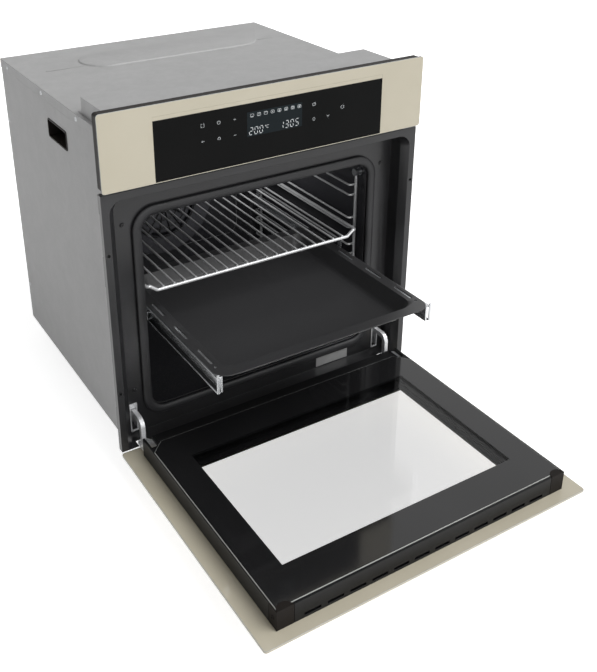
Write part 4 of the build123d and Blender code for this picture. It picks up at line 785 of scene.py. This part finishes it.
rod = add(group, "GeometryNodeCurveToMesh", {
    "Curve": rod_line, "Profile Curve": rod_ring.outputs["Curve"], "Fill Caps": True,
}).outputs["Mesh"]
rods = add(group, "GeometryNodeInstanceOnPoints", {"Points": places, "Instance": rod}).outputs["Instances"]
ended(group, out, together(group, border, rods), finishes["chrome_wire"])

SHELF_FRONT, SHELF_REAR, SIDE_Z, SUNK_Z = 40, 398, 271.55, 261.55
SHELF_HALF, RISE_END, RISE_START = 212, 206, 193
row = [(-RISE_END, SIDE_Z), (-RISE_START, SUNK_Z), (RISE_START, SUNK_Z), (RISE_END, SIDE_Z)]
# across the front, along the right side, back across the rear and along the left side
loop = [(x, SHELF_FRONT, z) for x, z in row]
loop += [(SHELF_HALF, y, SIDE_Z) for y in (SHELF_FRONT, SHELF_REAR)]
loop += [(x, SHELF_REAR, z) for x, z in reversed(row)]
loop += [(-SHELF_HALF, y, SIDE_Z) for y in (SHELF_REAR, SHELF_FRONT)]
stands_for(grown("shelf_wires", path_mesh("shelf border", [loop], closed=True), group), "wire_shelf")

# %% [markdown]
# ## Rear wall of the cavity
# A flat enamelled liner covers the rear wall. Its edge is pale bare steel, and it
# stands as a painted highlight: one thin bright line with a round corner. In front
# of the fan's grille sits a guard of wire, rings crossed by spokes, painted black
# as the painted shade of the grille's slots, so it shows as a dark lattice.

# %% Rear liner and fan guard
LINER_HALF, LINER_LOW, LINER_HIGH, LINER_FRONT, LINER_THICK = 187, 111, 398, 446, 3
LINER_CORNER, CORNER_STEPS = 25, 8
corner_x = LINER_HALF - LINER_CORNER
corner_low, corner_high = LINER_LOW + LINER_CORNER, LINER_HIGH - LINER_CORNER
cells = bmesh.new()
outline = []
for x, z, first in (
    (corner_x, corner_high, 0), (-corner_x, corner_high, 90),
    (-corner_x, corner_low, 180), (corner_x, corner_low, 270),
):
    for step in range(CORNER_STEPS + 1):
        angle = math.radians(first + 90 * step / CORNER_STEPS)
        spot = Vector((x + LINER_CORNER * math.cos(angle), LINER_FRONT, z + LINER_CORNER * math.sin(angle)))
        outline.append(cells.verts.new(spot * MM))
pulled = bmesh.ops.extrude_face_region(cells, geom=[cells.faces.new(outline)])["geom"]
for vert in (item for item in pulled if isinstance(item, bmesh.types.BMVert)):
    vert.co.y += LINER_THICK * MM
bmesh.ops.recalc_face_normals(cells, faces=cells.faces)
liner = new_piece("rear_liner", cells, [finishes["dark_enamel"], finishes["chrome_wire"]])
# the rounded edge strip gets the pale chrome finish, a painted highlight line round the liner
bevelled(liner, 1.4, edge_material=1)
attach(liner, "casing")

cover_low, cover_high = (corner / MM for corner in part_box("fan_cover"))
FAN_Z, GUARD_Y = (cover_low.z + cover_high.z) / 2, cover_low.y - 1.4
GUARD_RINGS, RING_STEPS, SPOKES = (16, 35, 54, 73), 48, 16


def on_guard(radius, turn):
    """A point of the guard, turn in degrees."""
    angle = math.radians(turn)
    return radius * math.cos(angle), GUARD_Y, FAN_Z + radius * math.sin(angle)


ring_turns = [360 * i / RING_STEPS for i in range(RING_STEPS + 1)]
spoke_turns = [360 * (i + 0.5) / SPOKES for i in range(SPOKES)]
guard = [[on_guard(radius, turn) for turn in ring_turns] for radius in GUARD_RINGS]
guard += [[on_guard(radius, turn) for radius in (GUARD_RINGS[0], GUARD_RINGS[-1])] for turn in spoke_turns]
# black wire rings and spokes: a painted shade lattice over the fan cover
group, sizes, out = node_group("Fan guard", {"Wire Radius": 1.5 * MM, "Bend": 0.0})
guard_wires = tube(group, sizes["Geometry"], sizes["Wire Radius"], sizes["Bend"], 8)
ended(group, out, guard_wires, finishes["guard_painted_shade"])
guard_piece = grown("fan_guard", path_mesh("guard lines", guard), group)
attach(guard_piece, "casing")

# %% [markdown]
# ## Door seal
# The seal is a hollow silicone tube, pressed against the frame in a closed loop. Its
# path is the mouth's outline with rounded corners, and its profile is a flat oval,
# so one oval is carried along the loop.

# %% Door seal
SEAL_HALF_WIDTH, SEAL_HALF_DEPTH, SEAL_CORNER = 8, 3.95, 33
group, sizes, out = node_group("Seal loop", {
    "Half Width": SEAL_HALF_WIDTH * MM, "Half Depth": SEAL_HALF_DEPTH * MM, "Corner": SEAL_CORNER * MM,
})
curve = add(group, "GeometryNodeMeshToCurve", {"Mesh": sizes["Geometry"]}).outputs["Curve"]
bent = add(group, "GeometryNodeFilletCurve", {
    "Curve": curve, "Count": 12, "Radius": sizes["Corner"],
}, mode="POLY")
ring = add(group, "GeometryNodeCurvePrimitiveCircle", {"Resolution": 20, "Radius": 1.0}).outputs["Curve"]
oval_size = add(group, "ShaderNodeCombineXYZ", {
    "X": sizes["Half Depth"], "Y": sizes["Half Width"], "Z": 1.0,
})
oval = add(group, "GeometryNodeTransform", {"Geometry": ring, "Scale": oval_size.outputs[0]})
seal = add(group, "GeometryNodeCurveToMesh", {
    "Curve": bent.outputs["Curve"], "Profile Curve": oval.outputs["Geometry"],
})
ended(group, out, seal.outputs["Mesh"], finishes["seal_rubber"])

seal_low, seal_high = (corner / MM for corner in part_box("door_seal"))
seal_x, seal_y = seal_high.x - SEAL_HALF_WIDTH, (seal_low.y + seal_high.y) / 2
low_z, high_z = seal_low.z + SEAL_HALF_WIDTH, seal_high.z - SEAL_HALF_WIDTH
seal_line = [
    (x, seal_y, z) for x, z in ((-seal_x, low_z), (seal_x, low_z), (seal_x, high_z), (-seal_x, high_z))
]
seal_piece = grown("seal_loop", path_mesh("seal line", [seal_line], closed=True), group, smooth_angle=60)
stands_for(seal_piece, "door_seal")

# %% [markdown]
# ## Screws
# The casing, the frame and the door caps are held by the same pan-head screws with a
# cross recess, zinc plated on the casing and black on the frame and the door. The
# head is a low cone with the cross cut out, on a short shank. One screw is instanced
# on points, and each point stores which way its screw faces.

# %% Screws
group, sizes, out = node_group("Pan head screws", {
    "Head Radius": 4 * MM, "Head Height": 1.4 * MM, "Shank Radius": 1.6 * MM, "Shank Length": 6 * MM,
})
narrow, slot_wide, slot_lift, half_down = (
    add(group, "ShaderNodeMath", {0: sizes[of], 1: share}, operation="MULTIPLY").outputs[0]
    for of, share in (
        ("Head Radius", 0.7), ("Head Radius", 0.24), ("Head Height", 0.75), ("Shank Length", -0.5),
    )
)
head = add(group, "GeometryNodeMeshCone", {
    "Vertices": 28, "Radius Bottom": sizes["Head Radius"], "Radius Top": narrow,
    "Depth": sizes["Head Height"],
}).outputs["Mesh"]
lift = add(group, "ShaderNodeCombineXYZ", {"Z": slot_lift}).outputs[0]
cut = add(group, "GeometryNodeMeshBoolean", {"Mesh 1": head}, operation="DIFFERENCE")
for across, up in ((sizes["Head Radius"], slot_wide), (slot_wide, sizes["Head Radius"])):
    extent = add(group, "ShaderNodeCombineXYZ", {"X": across, "Y": up, "Z": sizes["Head Height"]}).outputs[0]
    box = add(group, "GeometryNodeMeshCube", {"Size": extent}).outputs["Mesh"]
    lifted_box = add(group, "GeometryNodeTransform", {"Geometry": box, "Translation": lift})
    group.links.new(lifted_box.outputs["Geometry"], cut.inputs["Mesh 2"])
shank = add(group, "GeometryNodeMeshCylinder", {
    "Vertices": 14, "Radius": sizes["Shank Radius"], "Depth": sizes["Shank Length"],
}).outputs["Mesh"]
down = add(group, "ShaderNodeCombineXYZ", {"Z": half_down}).outputs[0]
shank = add(group, "GeometryNodeTransform", {"Geometry": shank, "Translation": down}).outputs["Geometry"]
turns = [
    add(group, "GeometryNodeInputNamedAttribute", {"Name": name}, data_type="FLOAT").outputs["Attribute"]
    for name in ("turn x", "turn y")
]
angles = add(group, "ShaderNodeCombineXYZ", {"X": turns[0], "Y": turns[1]}).outputs[0]
screws = add(group, "GeometryNodeInstanceOnPoints", {
    "Points": sizes["Geometry"], "Instance": together(group, cut.outputs["Mesh"], shank),
    "Rotation": angles,
}).outputs["Instances"]
ended(group, out, screws, finishes["screw_steel"])

TO_LEFT, TO_RIGHT, TO_FRONT, UP = (0, -90), (0, 90), (90, 0), (0, 0)
BOTH_SIDES = ((-1, TO_LEFT), (1, TO_RIGHT))
TOP_SCREW_X, TOP_SCREW_Y, TOP_SCREW_Z = 278, (119, 283, 471), 551.5
REAR_SCREW_X, REAR_SCREW_Y, REAR_SCREW_Z = 277, 505, (82, 440)
FRAME_SCREW_X, FRAME_SCREW_Y, FRAME_SCREW_Z = 252, 26.5, (92, 400)
CAP_SCREW_X, CAP_SCREW_Y, CAP_SCREW_Z = 267, -443.1, 16.1
HANDLE_SCREW_X, HANDLE_SCREW_Y, HANDLE_SCREW_Z = 236, -429.1, -0.9
casing_places = [((s * TOP_SCREW_X, y, TOP_SCREW_Z), turn) for s, turn in BOTH_SIDES for y in TOP_SCREW_Y]
casing_places += [((s * REAR_SCREW_X, REAR_SCREW_Y, z), turn) for s, turn in BOTH_SIDES for z in REAR_SCREW_Z]
frame_places = [((s * FRAME_SCREW_X, FRAME_SCREW_Y, z), TO_FRONT) for s in (-1, 1) for z in FRAME_SCREW_Z]
door_places = [((s * CAP_SCREW_X, CAP_SCREW_Y, CAP_SCREW_Z), turn) for s, turn in BOTH_SIDES]
door_places += [((s * HANDLE_SCREW_X, HANDLE_SCREW_Y, HANDLE_SCREW_Z), UP) for s in (-1, 1)]
for name, node, places, material, own_sizes in (
    ("casing_screw_heads", "casing_screws", casing_places, "screw_steel", {}),
    ("frame_screw_heads", "frame_screws", frame_places, "black_frame",
     {"Head Height": 2 * MM, "Shank Length": 8 * MM}),
    ("door_screw_heads", "door_screws", door_places, "black_plastic", {}),
):
    marks = {
        "turn x": [math.radians(turn[0]) for _, turn in places],
        "turn y": [math.radians(turn[1]) for _, turn in places],
    }
    start_points = path_mesh(name + " places", [[place] for place, _ in places], marks)
    heads = grown(name, start_points, group, own_sizes)
    for i in range(len(heads.data.materials)):
        heads.data.materials[i] = finishes[material]
    stands_for(heads, node)

# %% [markdown]
# ## Display
# The display is a black liquid crystal window that lights pale bars. Every digit has
# seven bars, so one bar is instanced on points, with a turn stored for each point.
# The points come from a short table of which bars each digit lights.

# %% Display window and bars
GLASS_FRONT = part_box("display_insert")[0].y / MM
WINDOW_HALF, WINDOW_LOW, WINDOW_HIGH, WINDOW_THICK = 51, 520.5, 560.5, 0.04
cells = bmesh.new()
add_block(
    cells, (-WINDOW_HALF, GLASS_FRONT - WINDOW_THICK, WINDOW_LOW), (WINDOW_HALF, GLASS_FRONT, WINDOW_HIGH)
)
window = new_piece("display_window", cells, [finishes["lcd_glass"]])
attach(window, "casing")

# which of the seven bars each digit lights, from the top round to the middle
BARS = {"0": "abcdef", "1": "bc", "2": "abdeg", "3": "abcdg", "5": "acdfg"}
SPOTS = {
    "a": (0, 1, 0), "b": (0.5, 0.5, 1), "c": (0.5, -0.5, 1), "d": (0, -1, 0),
    "e": (-0.5, -0.5, 1), "f": (-0.5, 0.5, 1), "g": (0, 0, 0),
}
DIGIT_Z, DIGIT_WIDTH, DIGIT_HEIGHT, SLANT = 529, 5.4, 11.5, 0.14


def bar_points(text, start, pitch):
    """Where each lit bar lies, and whether it stands upright."""
    found = []
    for i, digit in enumerate(text):
        for bar in BARS[digit]:
            across, up, upright = SPOTS[bar]
            rise = up * DIGIT_HEIGHT / 2
            found.append((start + i * pitch + across * DIGIT_WIDTH + rise * SLANT, DIGIT_Z + rise, upright))
    return found


BAR_Y = GLASS_FRONT - 0.06
bars = bar_points("200", start=-44, pitch=9.2) + bar_points("1305", start=12.5, pitch=9.6)
points = path_mesh(
    "bar points", [[(x, BAR_Y, z)] for x, z, _ in bars],
    {"upright": [float(upright) for _, _, upright in bars]},
)
print("lit bars:", len(bars))

# %% [markdown]
# ## Lit marks
# The bars and icons glow evenly, a little cooler than white. The glow is faint in
# daylight, so it is a pale colour with a low emission. A bar is a flat hexagon, as
# the bars of such displays are pointed at their ends.

# %% Lit marks finish and digits
finishes["lit_marks"], tree, surface, place = finish(
    "lit display marks", {"Roughness": 0.4, "Emission Strength": 0.12, "Emission Color": linear("#E8ECEE")}
)
flicker = add(tree, "ShaderNodeTexNoise", {"Vector": place, "Scale": size(3), "Detail": 1})
pattern(tree, surface, (flicker.outputs["Fac"], "#C9CED1", "#DDE1E3"))

BAR_TURN = math.radians(90 - 8)  # an upright bar leans by 8 degrees
group, sizes, out = node_group("Display bars", {
    "Bar Length": 4.9 * MM, "Bar Width": 1.0 * MM, "Bar Depth": 0.04 * MM,
})
upright = add(group, "GeometryNodeInputNamedAttribute", {"Name": "upright"}, data_type="FLOAT")
turn, half_length, hexagon_half = (
    add(group, "ShaderNodeMath", {0: value, 1: share}, operation="MULTIPLY").outputs[0]
    for value, share in (
        (upright.outputs["Attribute"], BAR_TURN), (sizes["Bar Length"], 0.5), (sizes["Bar Width"], 0.577),
    )
)
angles = add(group, "ShaderNodeCombineXYZ", {"Y": turn}).outputs[0]
bar = add(group, "GeometryNodeMeshCylinder", {"Vertices": 6, "Radius": 1.0, "Depth": 1.0}).outputs["Mesh"]
bar_size = add(group, "ShaderNodeCombineXYZ", {"X": half_length, "Y": hexagon_half, "Z": sizes["Bar Depth"]})
flat_bar = add(group, "GeometryNodeTransform", {"Geometry": bar, "Scale": bar_size.outputs[0]})
stood_bar = add(group, "GeometryNodeTransform", {
    "Geometry": flat_bar.outputs["Geometry"], "Rotation": (math.radians(90), 0, 0),
})
placed = add(group, "GeometryNodeInstanceOnPoints", {
    "Points": sizes["Geometry"], "Instance": stood_bar.outputs["Geometry"], "Rotation": angles,
}).outputs["Instances"]
ended(group, out, placed, finishes["lit_marks"])
digits = grown("display_digits", points, group)
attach(digits, "casing")

# %% [markdown]
# ## Icons and touch marks
# Above the digits stands a row of eight function icons, each a small rounded box
# with its own strokes inside. Beside the window are the touch marks: brackets, a
# clock, an arrow, a bell, plus and minus on the left, and a box, a knob, a fork and
# the power ring on the right. All are thin lines, so one tree makes them ribbons.

# %% Icons and touch marks
STROKE_Y = GLASS_FRONT - 0.07


def shape(x, z, scale, *lines):
    """Strokes drawn on a grid from -1 to 1, placed at x, z and scaled to millimetres."""
    return [[(x + a * scale, STROKE_Y, z + b * scale) for a, b in line] for line in lines]


def circle(radius=1.0, steps=14, start=0.0, sweep=360.0):
    """A ring or an arc as a stroke on the same grid."""
    angles = [math.radians(start + sweep * i / steps) for i in range(steps + 1)]
    return [(radius * math.cos(a), radius * math.sin(a)) for a in angles]


BOX = [
    (-0.7, -0.8), (0.7, -0.8), (1, -0.5), (1, 0.5), (0.7, 0.8),
    (-0.7, 0.8), (-1, 0.5), (-1, -0.5), (-0.7, -0.8),
]
HIGH_BAR, LOW_BAR, DASH = ([(-w, z), (w, z)] for w, z in ((0.6, 0.45), (0.6, -0.45), (1, 0)))
CROSS = ([(-0.4, -0.4), (0.4, 0.4)], [(-0.4, 0.4), (0.4, -0.4)])
UPPER_ROW, LOWER_ROW, ICON_ROW, FIRST_ICON_X, ICON_PITCH = 553.5, 528, 554.5, -42, 12.5

icons = []
for i, inside in enumerate((
    (LOW_BAR,), (HIGH_BAR, LOW_BAR), (HIGH_BAR,), CROSS, (*CROSS, LOW_BAR), (circle(0.4), LOW_BAR),
    (circle(0.5), HIGH_BAR), (circle(0.35), CROSS[0]),
)):
    icons += shape(FIRST_ICON_X + ICON_PITCH * i, ICON_ROW, 3.0, BOX, *inside)
# the ring and the slanted letter behind the temperature
icons += shape(-17.5, 533.5, 0.9, circle())
icons += shape(-13.5, 532, 2.2, [(1, 1), (-0.6, 1), (-1, -1), (0.6, -1)])

touch_marks = []
for x, z, scale, *lines in (
    (-129, UPPER_ROW, 2.6, [(-0.3, 1), (-1, 1), (-1, -1), (-0.3, -1)],
     [(0.3, 1), (1, 1), (1, -1), (0.3, -1)]),
    (-101, UPPER_ROW, 2.6, circle(), [(0, 0.6), (0, 0), (0.5, -0.2)]),
    (-73, UPPER_ROW, 2.4, DASH, [(0, -1), (0, 1)]),
    (-129, LOWER_ROW, 2.4, [(1, 0), (-1, 0)], [(-0.3, 0.6), (-1, 0), (-0.3, -0.6)]),
    (-101, LOWER_ROW, 2.6, circle(0.8, 10, 0, 180), [(-0.8, 0), (-1, -0.7), (1, -0.7), (0.8, 0)],
     [(0, -0.7), (0, -1)]),
    (-73, LOWER_ROW, 2.4, DASH),
    (74, 553, 2.8, BOX, [(-0.4, 0), (0.5, 0.4)]),
    (74, LOWER_ROW, 2.8, circle(0.8), [(0, 0.8), (0, 1.2)]),
    (101.5, LOWER_ROW, 2.6, [(-1, 0.8), (0, 0.1), (0, -0.8)], [(0, 0.1), (1, 0.8)]),
    (130, 539.2, 3.2, circle(0.9, 14, 110, 320), [(0, 1.1), (0, 0.3)]),
):
    touch_marks += shape(x, z, scale, *lines)

group, sizes, out = node_group("Printed strokes", {"Line Width": 0.6 * MM, "Line Depth": 0.04 * MM})
curve = add(group, "GeometryNodeMeshToCurve", {"Mesh": sizes["Geometry"]}).outputs["Curve"]
ring = add(group, "GeometryNodeCurvePrimitiveCircle", {"Resolution": 6, "Radius": 0.5}).outputs["Curve"]
flat = add(group, "ShaderNodeCombineXYZ", {"X": sizes["Line Depth"], "Y": sizes["Line Width"], "Z": 1.0})
ribbon = add(group, "GeometryNodeTransform", {"Geometry": ring, "Scale": flat.outputs[0]})
aimed = add(group, "GeometryNodeSetCurveNormal", {"Curve": curve})
drawn = add(group, "GeometryNodeCurveToMesh", {
    "Curve": aimed.outputs["Curve"], "Profile Curve": ribbon.outputs["Geometry"], "Fill Caps": True,
})
ended(group, out, drawn.outputs["Mesh"], finishes["lit_marks"])
for name, lines in (("display_icons", icons), ("touch_marks", touch_marks)):
    marks_piece = grown(name, path_mesh(name, lines), group)
    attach(marks_piece, "casing")

# %% [markdown]
# ## Studio
# Soft light comes from the whole sky and from one large lamp at the front right, so
# the left side of the casing is darker than the top, as in the photograph. A weaker
# lamp low in front looks into the cavity, where the oven's own lamp is lit too. The
# floor is pale and takes the shadow. The camera sees the world as white, straight or
# in a mirror, and the floor is lifted towards white in the same way.

# %% World, lamps and floor
def seen_in(tree):
    """1 for what the camera sees, straight or by way of metal or glass, and 0 for what only lights."""
    rays = add(tree, "ShaderNodeLightPath").outputs
    seen = rays["Is Camera Ray"]
    for ray in ("Is Glossy Ray", "Is Transmission Ray"):
        seen = add(tree, "ShaderNodeMath", {0: seen, 1: rays[ray]}, operation="MAXIMUM").outputs[0]
    return seen


world = bpy.data.worlds.new("white studio")
bpy.context.scene.world = world
world.use_nodes = True
sky = world.node_tree
strength = add(sky, "ShaderNodeMapRange", {"Value": seen_in(sky), "To Min": 0.29, "To Max": 1.0})
sky.links.new(strength.outputs["Result"], sky.nodes["Background"].inputs["Strength"])
sky.nodes["Background"].inputs["Color"].default_value = (1, 1, 1, 1)

for name, energy, spread, direction in (
    ("large soft lamp", 2.0, 45, (0.30, -0.38, 0.62)),
    ("low front lamp", 0.6, 30, (0.05, -1.0, 0.32)),
):
    lamp_data = bpy.data.lights.new(name, "SUN")
    lamp_data.energy = energy
    lamp_data.angle = math.radians(spread)
    lamp = in_scene(name, lamp_data)
    lamp.rotation_mode = "QUATERNION"
    lamp.rotation_quaternion = Vector(direction).to_track_quat("Z", "Y")

# the oven's own lamp, well in front of its lens and nearer the middle, so that no hot spot forms
GLOW_POWER, GLOW_RADIUS, GLOW_AHEAD = 0.5, 40, 150
lens_low, lens_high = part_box("lamp_lens")
glow_data = bpy.data.lights.new("oven lamp glow", "POINT")
glow_data.energy = GLOW_POWER
glow_data.shadow_soft_size = GLOW_RADIUS * MM
glow = in_scene("oven lamp glow", glow_data)
glow.visible_glossy = False
glow.location = ((lens_low.x + lens_high.x) / 3, lens_low.y - GLOW_AHEAD * MM, lens_high.z)
print("oven lamp at", [round(v, 3) for v in glow.location])

# half the floor's width in metres, and how brightly it glows where it is seen
FLOOR_HALF, FLOOR_LIFT = 15, 0.76
floor_material = bpy.data.materials.new("white studio floor")
floor_material.use_nodes = True
tree = floor_material.node_tree
tree.nodes.remove(tree.nodes["Principled BSDF"])
lifted = add(tree, "ShaderNodeMath", {0: seen_in(tree), 1: FLOOR_LIFT}, operation="MULTIPLY")
shine = add(tree, "ShaderNodeEmission", {"Strength": lifted.outputs[0]})
paint = add(tree, "ShaderNodeBsdfDiffuse", {"Color": linear("#EDEDED")})
both = add(tree, "ShaderNodeAddShader", {0: paint.outputs[0], 1: shine.outputs[0]})
tree.links.new(both.outputs[0], tree.nodes["Material Output"].inputs["Surface"])
cells = bmesh.new()
bmesh.ops.create_grid(cells, size=FLOOR_HALF, matrix=Matrix.Translation((0, 0, cad_low.z - 1 * MM)))
floor = new_piece("studio_floor", cells, [floor_material])
floor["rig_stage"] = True
bpy.context.scene.view_settings.view_transform = "Standard"
print("floor at", round(floor.data.vertices[0].co.z, 4))

# %% [markdown]
# ## Sizes
# The dressed oven has to keep the CAD model's size, so both boxes are written out.

# %% Write the sizes and finish
low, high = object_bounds()
print("visual box", [round(v, 4) for v in (*low, *high)])
